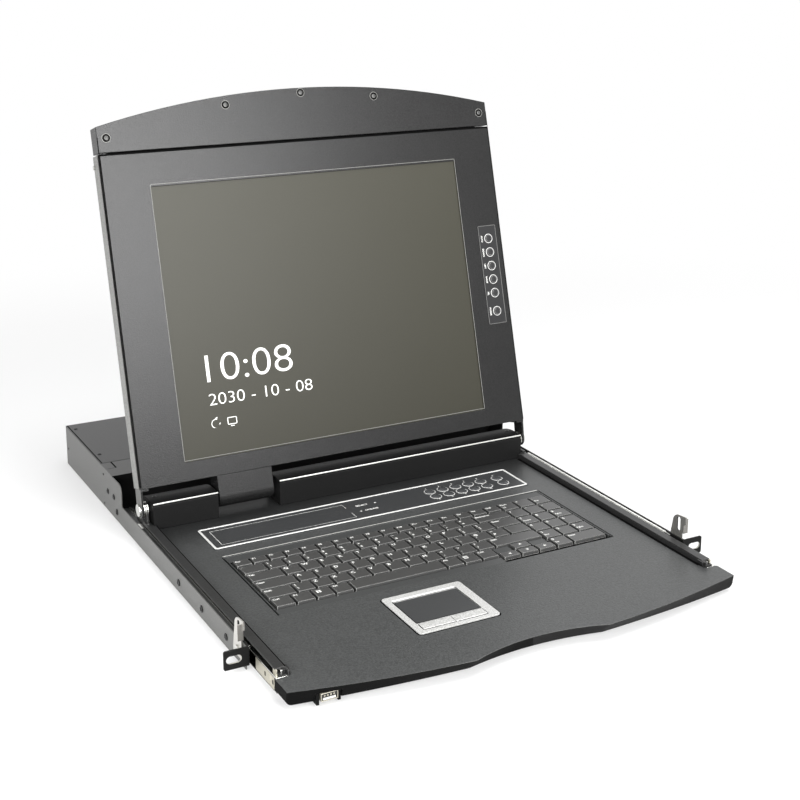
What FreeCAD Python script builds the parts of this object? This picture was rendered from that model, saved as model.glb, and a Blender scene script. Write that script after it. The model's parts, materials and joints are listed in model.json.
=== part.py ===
import FreeCAD, Part
import os

import Sketcher
from FreeCAD import Placement, Rotation, Vector

# A one-unit rack console drawer: a fixed chassis with a rear electronics box and two rack ears, a drawer on
# telescoping slides with a keyboard, a touchpad and a status panel, and a display that tilts up behind the keys.
# X runs to the right, Y into the rack and Z up. The origin lies midway between the two ear slots, on the back
# face of the ears. The drawer stands part way out and the display stands open.

os.makedirs("parts", exist_ok=True)
doc = FreeCAD.newDocument("console_drawer")

# Driving dimensions, in millimetres and degrees.
DIMENSIONS = {
    "ear_reach": 19.3,
    "slot_reach": 10.55,
    "slot_length": 13.2,
    "slot_width": 6.4,
    "ear_plate": 1.6,
    "ear_height": 16.9,
    "ear_drop": 8.5,
    "ear_foot": 24,
    "chassis_width": 444,
    "chassis_height": 44,
    "chassis_drop": 12.6,
    "plate": 1.2,
    "rail_height": 20.8,
    "tall_radius": 8,
    "bay_length": 27.5,
    "bay_gap": 52,
    "box_depth": 170,
    "seam_length": 39,
    "seam_gap": 0.8,
    "slide_steel": 1.0,
    "slide_play": 0.3,
    "slide_drop": 3.2,
    "slide_height": 18.6,
    "slide_space": 13.6,
    "slide_end_gap": 2,
    "ear_clearance": 0.4,
    "middle_front": 6,
    "middle_length": 290,
    "inner_back": 275,
    "tray_plate": 1.2,
    "deck_height": 3.3,
    "deck_plate": 2.0,
    "pan_depth": 12.4,
    "wall_rise": 4.6,
    "flange_width": 9.5,
    "flange_setback": 7,
    "palm_side_gap": 2.05,
    "palm_front": 74.3,
    "palm_back": 50.8,
    "kink_side": 65,
    "kink_reach": 25,
    "dip_reach": 13,
    "mid_side": 150,
    "mid_reach": 14.6,
    "nose_slope": 2.0,
    "nose_under": 0.61,
    "nose_round": 5,
    "hinge_inset": 19,
    "hinge_height": 20.3,
    "tilt": 15.3,
    "face_offset": 11.4,
    "display_depth": 21.4,
    "display_side_gap": 3.5,
    "display_low": 20.5,
    "screen_rim": 47.3,
    "screen_height": 270,
    "screen_rise": 18.3,
    "display_top_rim": 34.8,
    "bezel_plate": 1.5,
    "groove_width": 4.5,
    "groove_inset": 3.0,
    "arch_gap": 1.2,
    "arch_side": 25.3,
    "arch_crown": 27,
    "arch_depth": 19,
    "neck_left": 139.4,
    "neck_right": 81.5,
    "neck_gap_left": 2.6,
    "neck_gap_right": 4.5,
    "cover_gap": 20.8,
    "cover_depth": 34,
    "cover_top": 29.8,
    "cover_overhang": 2.5,
    "cover_wall": 1.6,
    "pin_radius": 3,
    "pin_play": 0.05,
    "arm_plate": 2.0,
    "arm_radius": 8,
    "washer_radius": 6.2,
    "lug_foot": 13,
    "keyboard_front": 46.2,
    "keyboard_inset": 33.4,
    "keyboard_margin": 2.75,
    "row_pitch": 18.1,
    "key_travel": 1.8,
    "key_height": 3.5,
    "key_proud": 1.1,
    "key_gap": 1.5,
    "key_taper": 0.7,
    "filler_inset": 1.5,
    "pad_left": 84.9,
    "pad_width": 78.2,
    "pad_front": 41.3,
    "pad_length": 71,
    "pad_lip": 1.1,
    "pad_frame": 6.2,
    "pad_button_front": 5.2,
    "pad_button_length": 10.3,
    "pad_bar": 1.9,
    "pad_back_frame": 10,
    "panel_gap": 18.5,
    "panel_margin": 0.4,
    "panel_length": 49.2,
    "panel_plate": 0.6,
    "button_pitch": 15.2,
    "button_line": 13.3,
    "button_radius": 5.0,
    "button_play": 0.3,
    "button_travel": 0.5,
    "button_proud": 0.6,
    "strip_inset": 6.4,
    "strip_width": 22.1,
    "strip_low": 108.3,
    "strip_length": 107.4,
    "osd_radius": 4.25,
    "socket_inset": 33.3,
    "socket_proud": 6,
    "socket_depth": 18,
    "inlet_depth": 16,
    "inlet_wall": 4,
    "lever_plate": 1.2,
    "lever_top": 30.8,
    "lever_pivot": 14,
    "fit_gap": 0.3,
}

sheet = doc.addObject("Spreadsheet::Sheet", "sizes")
for row, (alias, value) in enumerate(DIMENSIONS.items(), start=1):
    sheet.set(f"A{row}", alias)
    sheet.set(f"B{row}", str(value))
    sheet.setAlias(f"B{row}", alias)
doc.recompute()


class Size:
    """A length with its number and its expression on the sheet, so that sums of sizes stay bound to the cells."""

    def __init__(self, number, text):
        self.number = number
        self.text = text

    def _joined(self, other, sign, number):
        return Size(number, f"({self.text} {sign} {size(other).text})")

    def __add__(self, other):
        return self._joined(other, "+", self.number + size(other).number)

    def __sub__(self, other):
        return self._joined(other, "-", self.number - size(other).number)

    def __mul__(self, other):
        return self._joined(other, "*", self.number * size(other).number)

    def __truediv__(self, other):
        return self._joined(other, "/", self.number / size(other).number)

    def __radd__(self, other):
        return size(other) + self

    def __rsub__(self, other):
        return size(other) - self

    def __rmul__(self, other):
        return size(other) * self

    def __neg__(self):
        return size(0) - self


def size(value):
    """A plain number or a Size, as a Size."""
    if isinstance(value, Size):
        return value
    return Size(float(value), repr(float(value)))


def cell(alias):
    """The Size of one sheet cell."""
    return Size(float(getattr(sheet, alias)), f"sizes.{alias}")


def bind(thing, prop, value):
    """Bind a property to the sheet."""
    thing.setExpression(prop, size(value).text)


# How each origin plane lies: its role, the sign of its normal along the model's axis, and that axis.
PLANES = {"XY": ("XY_Plane", 1), "XZ": ("XZ_Plane", -1), "YZ": ("YZ_Plane", 1)}


class Arc:
    """A round stretch of an outline, from the point before it, through one point, to another."""

    def __init__(self, through, end):
        self.through = through
        self.end = end


class Circle:
    """A whole circle in a sketch."""

    def __init__(self, across, up, radius):
        self.centre = (across, up)
        self.radius = radius


def fix_point(sketch, shape, corner, point):
    """Hold one point of a sketch at its two distances from the sketch's origin."""
    for kind, value in (("DistanceX", size(point[0])), ("DistanceY", size(point[1]))):
        index = sketch.addConstraint(Sketcher.Constraint(kind, -1, 1, shape, corner, value.number))
        sketch.setExpression(f"Constraints[{index}]", value.text)


def flat(point):
    """A sketch point as a vector, from its numbers."""
    return Vector(size(point[0]).number, size(point[1]).number, 0)


def add_circle(sketch, circle):
    """Draw a circle and bind its centre and radius."""
    radius = size(circle.radius)
    shape = sketch.addGeometry(Part.Circle(flat(circle.centre), Vector(0, 0, 1), radius.number))
    fix_point(sketch, shape, 3, circle.centre)
    index = sketch.addConstraint(Sketcher.Constraint("Radius", shape, radius.number))
    sketch.setExpression(f"Constraints[{index}]", radius.text)


def add_loop(sketch, steps):
    """Draw a closed outline of straight sides and arcs. Each step is a corner or an Arc that ends at one."""
    ends = [step.end if isinstance(step, Arc) else step for step in steps]
    shapes = []
    for place, step in enumerate(steps):
        start = ends[place - 1]
        if isinstance(step, Arc):
            first, through, last = flat(start), flat(step.through), flat(step.end)
            left_turn = (through - first).cross(last - through).z > 0
            curve = Part.Arc(first, through, last) if left_turn else Part.Arc(last, through, first)
            shape = sketch.addGeometry(curve)
            middle = sketch.addGeometry(Part.Point(flat(step.through)), True)
            fix_point(sketch, middle, 1, step.through)
            sketch.addConstraint(Sketcher.Constraint("PointOnObject", middle, 1, shape))
            shapes.append((shape, 1, 2) if left_turn else (shape, 2, 1))
        else:
            shapes.append((sketch.addGeometry(Part.LineSegment(flat(start), flat(step))), 1, 2))
    for place, (shape, _, last) in enumerate(shapes):
        following, first, _ = shapes[(place + 1) % len(shapes)]
        sketch.addConstraint(Sketcher.Constraint("Coincident", shape, last, following, first))
        fix_point(sketch, shape, last, ends[place])


def rectangle(left, low, right, high):
    """The four corners of a rectangle."""
    return [(left, low), (right, low), (right, high), (left, high)]


def new_body(label):
    """A body of its own for one sub-part."""
    body = doc.addObject("PartDesign::Body", label)
    body.Label = label
    return body


def add_sketch(body, plane, height, loops):
    """A sketch on one of the body's origin planes, moved along the plane's normal to a height on the axis."""
    role, sign = PLANES[plane]
    sketch = body.newObject("Sketcher::SketchObject", body.Name + "_sketch")
    support = [feature for feature in body.Origin.OriginFeatures if feature.Role == role][0]
    sketch.AttachmentSupport = [(support, "")]
    sketch.MapMode = "FlatFace"
    bind(sketch, "AttachmentOffset.Base.z", sign * size(height))
    for loop in loops:
        if isinstance(loop, Circle):
            add_circle(sketch, loop)
        else:
            add_loop(sketch, loop)
    return sketch


def pad(body, plane, low, high, *loops):
    """Raise loops from low to high along the plane's axis."""
    sketch = add_sketch(body, plane, low, loops)
    feature = body.newObject("PartDesign::Pad", body.Name + "_pad")
    feature.Profile = sketch
    feature.Reversed = PLANES[plane][1] < 0
    bind(feature, "Length", size(high) - low)
    return feature


def pocket(body, plane, low, high, *loops):
    """Cut loops away from low to high along the plane's axis."""
    sketch = add_sketch(body, plane, low, loops)
    feature = body.newObject("PartDesign::Pocket", body.Name + "_pocket")
    feature.Profile = sketch
    feature.Reversed = PLANES[plane][1] > 0
    bind(feature, "Length", size(high) - low)
    return feature


def place(thing, across, back, up):
    """Bind the position of a primitive."""
    for axis, value in (("x", across), ("y", back), ("z", up)):
        bind(thing, f"Placement.Base.{axis}", value)


def block(name, low, high):
    """A box between two corners."""
    solid = doc.addObject("Part::Box", name)
    for prop, start, end in zip(("Length", "Width", "Height"), low, high):
        bind(solid, prop, size(end) - start)
    place(solid, *low)
    return solid


# Turns that lay a cylinder, built along Z, along each axis.
TURNS = {
    "X": Rotation(Vector(0, 1, 0), 90),
    "Y": Rotation(Vector(1, 0, 0), -90),
    "Z": Rotation(),
}


def rod(name, axis, base, radius, length):
    """A cylinder that starts at base and runs the positive way along an axis."""
    solid = doc.addObject("Part::Cylinder", name)
    solid.Placement = Placement(Vector(), TURNS[axis])
    bind(solid, "Radius", radius)
    bind(solid, "Height", length)
    place(solid, *base)
    return solid


def group(label, solids):
    """Several solids of one sub-part."""
    compound = doc.addObject("Part::Compound", label)
    compound.Label = label
    compound.Links = solids
    return compound


def fuse(label, solids):
    """One sub-part joined from several solids."""
    joined = doc.addObject("Part::MultiFuse", label)
    joined.Label = label
    joined.Shapes = solids
    return joined


def lay_on_display(thing):
    """Stand a sub-part, built flat on the hinge axis, up at the display's tilt."""
    thing.Placement = Placement(Vector(), Rotation(Vector(1, 0, 0), 90 - tilt.number))
    bind(thing, "Placement.Base.y", hinge_back)
    bind(thing, "Placement.Base.z", hinge_height)
    bind(thing, "Placement.Rotation.Angle", 90 - tilt)
    return thing


def both_sides(make):
    """Call make for the left side, at -1, and for the right side, at 1."""
    return [make("left", -1), make("right", 1)]


def spans(side, inner, outer):
    """Low and high X of a span between two distances from the middle, on one side."""
    return (side * size(outer), side * size(inner)) if side < 0 else (size(inner), size(outer))


# Sizes that several sub-parts share, worked out from the sheet.
fit_gap = cell("fit_gap")
plate = cell("plate")
chassis_side = cell("chassis_width") / 2
plate_inside = chassis_side - plate
chassis_low = -cell("chassis_drop")
chassis_high = chassis_low + cell("chassis_height")
rail_high = chassis_low + cell("rail_height")
tray_outside = plate_inside - cell("slide_space")
tray_side = tray_outside - cell("tray_plate")
deck_high = cell("deck_height")
deck_low = deck_high - cell("deck_plate")
pan_low = deck_high - cell("pan_depth")
pan_floor = pan_low + cell("tray_plate")
flange_high = deck_high + cell("wall_rise")
flange_side = tray_side + cell("flange_width")
palm_back = -cell("palm_back")
palm_front = -cell("palm_front")
palm_side = plate_inside - cell("palm_side_gap")
hinge_height = cell("hinge_height")
tilt = cell("tilt")
face = cell("face_offset")
display_back = face - cell("display_depth")
display_side = plate_inside - cell("display_side_gap")
display_low = cell("display_low")
screen_low = display_low + cell("screen_rise")
display_high = screen_low + cell("screen_height") + cell("display_top_rim")
cover_end = tray_side + cell("cover_overhang")


def even_keys(start, count, width=1):
    """A run of equal keys, as (left, width)."""
    return [(start + number * width, width) for number in range(count)]


# Key rows from front to rear, each key as (left, width) in key pitches from the left end of the row.
KEY_ROWS = [
    [(0, 1.06), (1.06, 1.03), (2.09, 1.01), (3.1, 0.98), (4.08, 5.1), (9.18, 1), (10.18, 1.01), (11.19, 1.01)],
    [(0, 1.55), *even_keys(1.55, 11), (12.55, 2.86)],
    [(0, 2.1), *even_keys(2.1, 12), (14.1, 1.31)],
    [(0, 1.83), *even_keys(1.83, 12), (13.83, 1.58)],
    [(0, 1.34), *even_keys(1.34, 12), (13.34, 2.07)],
    even_keys(0, 17, 0.9065),
]
# Depths of the key rows, in row pitches, and how far their front edges lie from the first row's.
ROW_DEPTHS = [0.93, 0.93, 0.93, 0.93, 0.85, 0.68]
# Arrow keys as (left, width) in key pitches, and the number block's columns.
ARROW_LEFT, ARROW_WIDTH = 12.2, 1.06
NUMBER_COLUMNS = [(15.41, 1.01), (16.42, 1.01), (17.43, 1.03)]
KEYS_ACROSS = 18.46
keyboard_side = tray_side - cell("keyboard_inset")
key_pitch = 2 * (keyboard_side - cell("keyboard_margin")) / KEYS_ACROSS
row_pitch = cell("row_pitch")
rows_front = cell("keyboard_front") + 0.67 * row_pitch
arrows_front = cell("keyboard_front") + 0.3 * row_pitch
keyboard_back = rows_front + 6.45 * row_pitch
key_high = deck_high + cell("key_proud")
key_low = key_high - cell("key_height")
key_floor = key_low - cell("key_travel") - fit_gap
panel_side = keyboard_side + cell("panel_margin")
panel_front = keyboard_back + cell("panel_gap")
panel_back = panel_front + cell("panel_length")
status_columns = [panel_side - 100.7 + step * cell("button_pitch") for step in (0, 1, 2, 3, 4, 5.3)]
status_lines = [panel_front + 16.7 + step * cell("button_line") for step in (0, 1)]
cover_front = panel_back + cell("cover_gap")
tray_back = cover_front + cell("cover_depth")
hinge_back = tray_back - cell("hinge_inset")
box_front = tray_back + cell("bay_gap")
tall_front = box_front - cell("bay_length")
seam_back = box_front + cell("seam_length")
chassis_back = box_front + cell("box_depth")


def make_side_plate(name, side):
    """Sheet side: tall beside the rear box, then a low rail that runs forward to the rack ear."""
    body = new_body(f"side_plate_{name}")
    radius = cell("tall_radius")
    front = tall_front
    top = chassis_high - plate
    turn = radius * 0.29289
    outline = [
        (0, chassis_low),
        (chassis_back, chassis_low),
        (chassis_back, top),
        (front + radius, top),
        Arc((front + turn, top - turn), (front, top - radius)),
        (front, rail_high),
        (0, rail_high),
    ]
    low, high = spans(side, plate_inside, chassis_side)
    pad(body, "YZ", low, high, outline)


def make_rack_ear(name, side):
    """Angle of steel: a face with one horizontal slot, and a foot riveted inside the rail."""
    body = new_body(f"rack_ear_{name}")
    thickness = cell("ear_plate")
    low_edge = -cell("ear_drop")
    high_edge = low_edge + cell("ear_height")
    inner = plate_inside - thickness
    slot_middle = chassis_side + cell("slot_reach")
    half = cell("slot_width") / 2
    reach = cell("slot_length") / 2 - half
    near, far = spans(side, slot_middle - reach, slot_middle + reach)
    slot = [
        (far, -half),
        Arc((far + half, 0), (far, half)),
        (near, half),
        Arc((near - half, 0), (near, -half)),
    ]
    left, right = spans(side, inner, chassis_side + cell("ear_reach"))
    pad(body, "XZ", -thickness, 0, rectangle(left, low_edge, right, high_edge), slot)
    left, right = spans(side, inner, plate_inside)
    pad(body, "XZ", -thickness, cell("ear_foot"), rectangle(left, low_edge, right, high_edge))


def make_rear_box_shell():
    """Folded pan of the rear box, with front and rear walls and a fixed strip of roof at the front."""
    body = new_body("rear_box_shell")
    roof = chassis_high - plate
    left, right = -plate_inside, plate_inside
    pad(body, "XY", chassis_low, chassis_low + plate, rectangle(left, box_front, right, chassis_back))
    pad(body, "XY", chassis_low, roof, rectangle(left, box_front, right, box_front + plate))
    pad(body, "XY", chassis_low, roof, rectangle(left, chassis_back - plate, right, chassis_back))
    strip = rectangle(-chassis_side, box_front, chassis_side, seam_back)
    pad(body, "XY", roof, chassis_high, strip)
    for share, up, wide, tall in REAR_SOCKETS:
        across = share * chassis_side
        hole = rectangle(across - wide / 2, up - tall / 2, across + wide / 2, up + tall / 2)
        pocket(body, "XZ", chassis_back - plate, chassis_back, hole)


# Rear connectors: middle across as a share of the half width, then middle up, width and height of each cut-out.
REAR_SOCKETS = [(-0.68, 8, 28, 20), (-0.18, 8, 31, 12.5), (0.09, 8, 31, 12.5)]


def make_rear_box_cover():
    """Loose lid behind the seam, laid over the side plates."""
    body = new_body("rear_box_cover")
    start = seam_back + cell("seam_gap")
    pad(body, "XY", chassis_high - plate, chassis_high, rectangle(-chassis_side, start, chassis_side, chassis_back))


def make_rear_box_boards():
    """Main board and supply board on the floor of the rear box."""
    floor = chassis_low + plate
    top = chassis_high - plate
    length = chassis_back - box_front
    main = block("main_board", (-0.32 * chassis_side, box_front + 0.18 * length, floor),
                 (0.68 * chassis_side, chassis_back - 0.07 * length, floor + 6))
    supply = block("supply_block", (-0.9 * chassis_side, box_front + 0.12 * length, floor),
                   (-0.45 * chassis_side, chassis_back - 0.26 * length, top - 4))
    group("rear_box_boards", [main, supply])


def make_rear_sockets():
    """An inlet with a hollow mouth and two flat connectors, seated in the rear wall."""
    solids = []
    wall = chassis_back - plate
    reach = 6
    for number, (share, up, wide, tall) in enumerate(REAR_SOCKETS):
        across = share * chassis_side
        left, right = across - wide / 2 + 0.1, across + wide / 2 - 0.1
        low, high = up - tall / 2 + 0.1, up + tall / 2 - 0.1
        if number == 0:
            inner = wall - cell("inlet_depth")
            floor = inner + cell("inlet_wall")
            outer = block("inlet_block", (left, inner, low), (right, chassis_back + 1.5, high))
            mouth = block("inlet_mouth", (left + 2, floor, low + 2), (right - 2, chassis_back + 2.5, high - 2))
            inlet = doc.addObject("Part::Cut", "inlet")
            inlet.Base = outer
            inlet.Tool = mouth
            solids.append(inlet)
        else:
            solids.append(block(f"connector_{number}", (left, wall - 8, low), (right, chassis_back + reach, high)))
    group("rear_sockets", solids)


def channel(side, web, tip, half, thick, opens_inward):
    """Cross-section of a C-shaped slide member, with its web at one distance from the middle."""
    drop = -cell("slide_drop")
    step = -thick if opens_inward else thick
    points = [
        (web, drop - half),
        (tip, drop - half),
        (tip, drop - half + thick),
        (web + step, drop - half + thick),
        (web + step, drop + half - thick),
        (tip, drop + half - thick),
        (tip, drop + half),
        (web, drop + half),
    ]
    return [(side * size(across), up) for across, up in points]


def make_slides():
    """Telescoping slides: nested C-shaped steel members, one set on each side."""
    steel = cell("slide_steel")
    play = cell("slide_play")
    outer_half = cell("slide_height") / 2
    middle_half = outer_half - steel - play
    inner_half = middle_half - steel - play
    middle_web = plate_inside - cell("ear_plate") - cell("ear_clearance")
    outer_front = cell("ear_foot") + cell("slide_end_gap")
    members = {
        "slide_outers": (plate_inside, tray_outside + 3, outer_half, True, outer_front, tall_front),
        "slide_middles": (middle_web, tray_outside + 2, middle_half, True, cell("middle_front"),
                          cell("middle_front") + cell("middle_length")),
        "slide_inners": (tray_outside, middle_web - 1.6, inner_half, False, palm_back, cell("inner_back")),
    }
    for label, (web, tip, half, inward, front, back) in members.items():
        solids = []
        for side in (-1, 1):
            body = new_body(f"{label}_{'left' if side < 0 else 'right'}_member")
            pad(body, "XZ", front, back, channel(side, web, tip, half, steel, inward))
            solids.append(body)
        group(label, solids)


def make_lever_pins():
    """Headed pins in the side plates, on which the latch levers turn."""
    solids = []
    stem = cell("lever_plate") + 2 * fit_gap
    for name, side in (("left", -1), ("right", 1)):
        low, _ = spans(side, chassis_side, chassis_side + stem)
        solids.append(rod(f"lever_pin_{name}", "X", (low, cell("lever_pivot"), 0), PIVOT_RADIUS, stem))
        low, _ = spans(side, chassis_side + stem, chassis_side + stem + 1)
        solids.append(rod(f"lever_head_{name}", "X", (low, cell("lever_pivot"), 0), PIVOT_RADIUS + 1.4, 1))
    fuse("lever_pins", solids)


PIVOT_RADIUS = 2


def make_latch_lever(name, side):
    """Sprung steel lever outside the rail: a tapered plate with a long hole and a finger flange in front."""
    body = new_body(f"latch_lever_{name}")
    thick = cell("lever_plate")
    inner = chassis_side + fit_gap
    top = cell("lever_top")
    pivot = cell("lever_pivot")
    outline = [
        (pivot - 9, -6),
        (pivot + 9, -6),
        (pivot + 9, 0),
        (pivot + 4.5, top - 8),
        Arc((pivot + 2, top - 4.3), (pivot - 3, top - 2)),
        (pivot - 14, top - 1),
        (pivot - 15, top - 8),
        (pivot - 11.5, top - 10),
        (pivot - 11.5, 12.5),
        (pivot - 9, 12.5),
    ]
    hole_low, hole_high, half = 15.5, top - 6, 2.3
    hole = [
        (pivot - 4 - half, hole_low),
        Arc((pivot - 4, hole_low - half), (pivot - 4 + half, hole_low)),
        (pivot - 4 + half, hole_high),
        Arc((pivot - 4, hole_high + half), (pivot - 4 - half, hole_high)),
    ]
    low, high = spans(side, inner, inner + thick)
    bore = Circle(pivot, 0, PIVOT_RADIUS + cell("pin_play"))
    pad(body, "YZ", low, high, outline, hole, bore)
    low, high = spans(side, inner, inner + thick + 4)
    pad(body, "YZ", low, high, rectangle(pivot - 11.5, 12.5, pivot - 10.3, top - 4))


def palm_outline(side, corner, reach):
    """Front edge of the palm rest in plan: out to a kink on each side, with a shallow dip between them.

    side is the half width, corner the Y of the end corners and reach the share of the full forward reach."""
    kink = cell("kink_side")
    kink_y = corner - cell("kink_reach") * reach
    dip_y = corner - cell("dip_reach") * reach
    mid_y = corner - cell("mid_reach") * reach
    return [
        (side, palm_back),
        (-side, palm_back),
        (-side, corner),
        Arc((-cell("mid_side"), mid_y), (-kink, kink_y)),
        Arc((0, dip_y), (kink, kink_y)),
        Arc((cell("mid_side"), mid_y), (side, corner)),
    ]


def key_across(pitches):
    """X of a place in a key row."""
    return pitches * key_pitch - keyboard_side + cell("keyboard_margin")


def row_edges(row):
    """Front and rear edge of a row of the main block."""
    front = rows_front + row * row_pitch
    return front, front + ROW_DEPTHS[row] * row_pitch


def number_edges(row):
    """Front and rear edge of a row of the number block, which has a slightly larger pitch."""
    front = arrows_front + row * 1.03 * row_pitch
    return front, front + 0.945 * row_pitch


def arrow_edges(line):
    """Front and rear edge of the two lines of arrow keys."""
    front = arrows_front + line * 0.69 * row_pitch
    back = front + 0.6 * row_pitch
    return (front, back) if line == 0 else (front, row_edges(0)[1])


def make_keyboard_deck():
    """Palm rest with a sloping front face, and the flat deck that carries everything on the drawer."""
    body = new_body("keyboard_deck")
    slope = cell("nose_slope")
    low = add_sketch(body, "XY", pan_low, [palm_outline(palm_side, palm_front + slope, cell("nose_under"))])
    high = add_sketch(body, "XY", deck_high, [palm_outline(palm_side, palm_front, 1)])
    nose = body.newObject("PartDesign::AdditiveLoft", "palm_nose")
    nose.Profile = low
    nose.Sections = [high]
    nose.Ruled = True
    doc.recompute()
    ends = [f"Edge{number + 1}" for number, edge in enumerate(nose.Shape.Edges) if is_low_end(edge)]
    rounding = body.newObject("PartDesign::Fillet", "nose_rounding")
    rounding.Base = (nose, ends)
    bind(rounding, "Radius", cell("nose_round"))
    pad(body, "XY", deck_low, deck_high, rectangle(-tray_side, palm_back, tray_side, tray_back))
    front, back = cell("keyboard_front"), keyboard_back
    pocket(body, "XY", deck_low, deck_high, rectangle(-keyboard_side, front, keyboard_side, back))
    left, low_y, right, high_y = pad_block(fit_gap)
    pocket(body, "XY", pan_low, deck_high, rectangle(left, low_y, right, high_y))
    left, low_y, right, high_y = button_block(fit_gap)
    pocket(body, "XY", deck_low, deck_high, rectangle(left, low_y, right, high_y))
    middle = -palm_side + cell("socket_inset")
    seat = rectangle(middle - 10.6, pan_low, middle + 10.6, deck_low - 3)
    pocket(body, "XZ", palm_front - 30, palm_front + cell("socket_depth"), seat)


def is_low_end(edge):
    """Whether an edge of the nose is one of the two lower edges at its ends."""
    box = edge.BoundBox
    across = abs(box.XMin) > palm_side.number - 1 and box.XLength < 1
    return across and box.YLength > 5 and box.ZLength < 0.1 and box.ZMin < 0


def pad_block(gap):
    """Plan of the touchpad's body below the deck, grown by a gap."""
    hidden = cell("pad_frame") * 0.6 - gap
    left = -cell("pad_left") + hidden
    right = -cell("pad_left") + cell("pad_width") - hidden
    front = -cell("pad_front") + hidden
    back = -cell("pad_front") + cell("pad_length") - hidden
    return left, front, right, back


def button_block(gap):
    """Plan of the board block under the status panel's buttons, grown by a gap."""
    edge = cell("button_radius") + 4 + gap
    return status_columns[0] - edge, status_lines[0] - edge, status_columns[-1] + edge, status_lines[-1] + edge


def make_drawer_pan():
    """Folded steel pan: floor, two walls and their flanges, which turn outward over the slides."""
    body = new_body("drawer_pan")
    flange_low = flange_high - cell("tray_plate")
    profile = [
        (-flange_side, flange_high),
        (-flange_side, flange_low),
        (-tray_outside, flange_low),
        (-tray_outside, pan_low),
        (tray_outside, pan_low),
        (tray_outside, flange_low),
        (flange_side, flange_low),
        (flange_side, flange_high),
        (tray_side, flange_high),
        (tray_side, pan_floor),
        (-tray_side, pan_floor),
        (-tray_side, flange_high),
    ]
    pad(body, "XZ", palm_back, tray_back, profile)
    stop = palm_back + cell("flange_setback")
    for side in (-1, 1):
        low, high = spans(side, tray_outside, flange_side + 1)
        pocket(body, "XY", flange_low - 1, flange_high + 1, rectangle(low, palm_back - 1, high, stop))


def keycap(name, left, front, right, back):
    """A low frustum: flat top, sloping sides."""
    cap = doc.addObject("Part::Wedge", name)
    inset = cell("key_gap") / 2
    taper = cell("key_taper")
    wide = size(right - left) - 2 * inset
    deep = size(back - front)
    cap.Placement = Placement(Vector(), Rotation(Vector(1, 0, 0), 90))
    for prop, value in (("Xmin", 0), ("Ymin", 0), ("Zmin", -deep), ("X2min", taper), ("Z2min", taper - deep),
                        ("Xmax", wide), ("Ymax", cell("key_height")), ("Zmax", 0), ("X2max", wide - taper),
                        ("Z2max", -taper)):
        bind(cap, prop, value)
    place(cap, left + inset, front, key_low)
    return cap


def make_key_rows():
    """Six rows of keys. Each row, with its part of the number block, is one sub-part."""
    for row, keys in enumerate(KEY_ROWS):
        caps = [(left, width, *row_edges(row)) for left, width in keys]
        columns = NUMBER_COLUMNS
        if row == 0:
            caps += [(ARROW_LEFT + step * ARROW_WIDTH, ARROW_WIDTH, *arrow_edges(0)) for step in range(3)]
            caps.append((ARROW_LEFT + ARROW_WIDTH, ARROW_WIDTH, *arrow_edges(1)))
            columns = [NUMBER_COLUMNS[0], (NUMBER_COLUMNS[1][0], KEYS_ACROSS - NUMBER_COLUMNS[1][0])]
        caps += [(left, width, *number_edges(row)) for left, width in columns]
        solids = []
        for number, (left, width, front, back) in enumerate(caps, start=1):
            solids.append(keycap(f"key_{row + 1}_{number}", key_across(left), front, key_across(left + width), back))
        group(f"key_row_{row + 1}", solids)


def make_keyboard_base():
    """Moulded tray under the keys: ribs between the rows, a raised strip behind them, fillers by the arrows."""
    body = new_body("keyboard_base")
    half = keyboard_side - fit_gap
    front = cell("keyboard_front") + fit_gap
    back = keyboard_back - fit_gap
    top = deck_high - 0.5
    rib_top = key_low + 0.6
    pad(body, "XY", pan_floor, key_floor, rectangle(-half, front, half, back))
    pad(body, "XY", pan_floor, top, rectangle(-half, row_edges(5)[1] + 1.7, half, back))
    arrows_left, block_left = key_across(ARROW_LEFT), key_across(NUMBER_COLUMNS[0][0])
    for row in range(5):
        low, high = row_edges(row)[1] + fit_gap, row_edges(row + 1)[0] - fit_gap
        pad(body, "XY", key_floor, rib_top, rectangle(key_across(0), low, block_left - fit_gap, high))
        low, high = number_edges(row)[1] + fit_gap, number_edges(row + 1)[0] - fit_gap
        pad(body, "XY", key_floor, rib_top, rectangle(block_left + fit_gap, low, key_across(KEYS_ACROSS), high))
    low, high = arrow_edges(0)[1] + fit_gap, arrow_edges(1)[0] - fit_gap
    pad(body, "XY", key_floor, rib_top, rectangle(arrows_left, low, block_left - fit_gap, high))
    low, high = arrow_edges(1)[0] + fit_gap, row_edges(0)[1] - fit_gap
    for left in (ARROW_LEFT, ARROW_LEFT + 2 * ARROW_WIDTH):
        start, end = key_across(left) + cell("filler_inset"), key_across(left + ARROW_WIDTH) - cell("filler_inset")
        pad(body, "XY", key_floor, top, rectangle(start, low, end, high))


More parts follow.
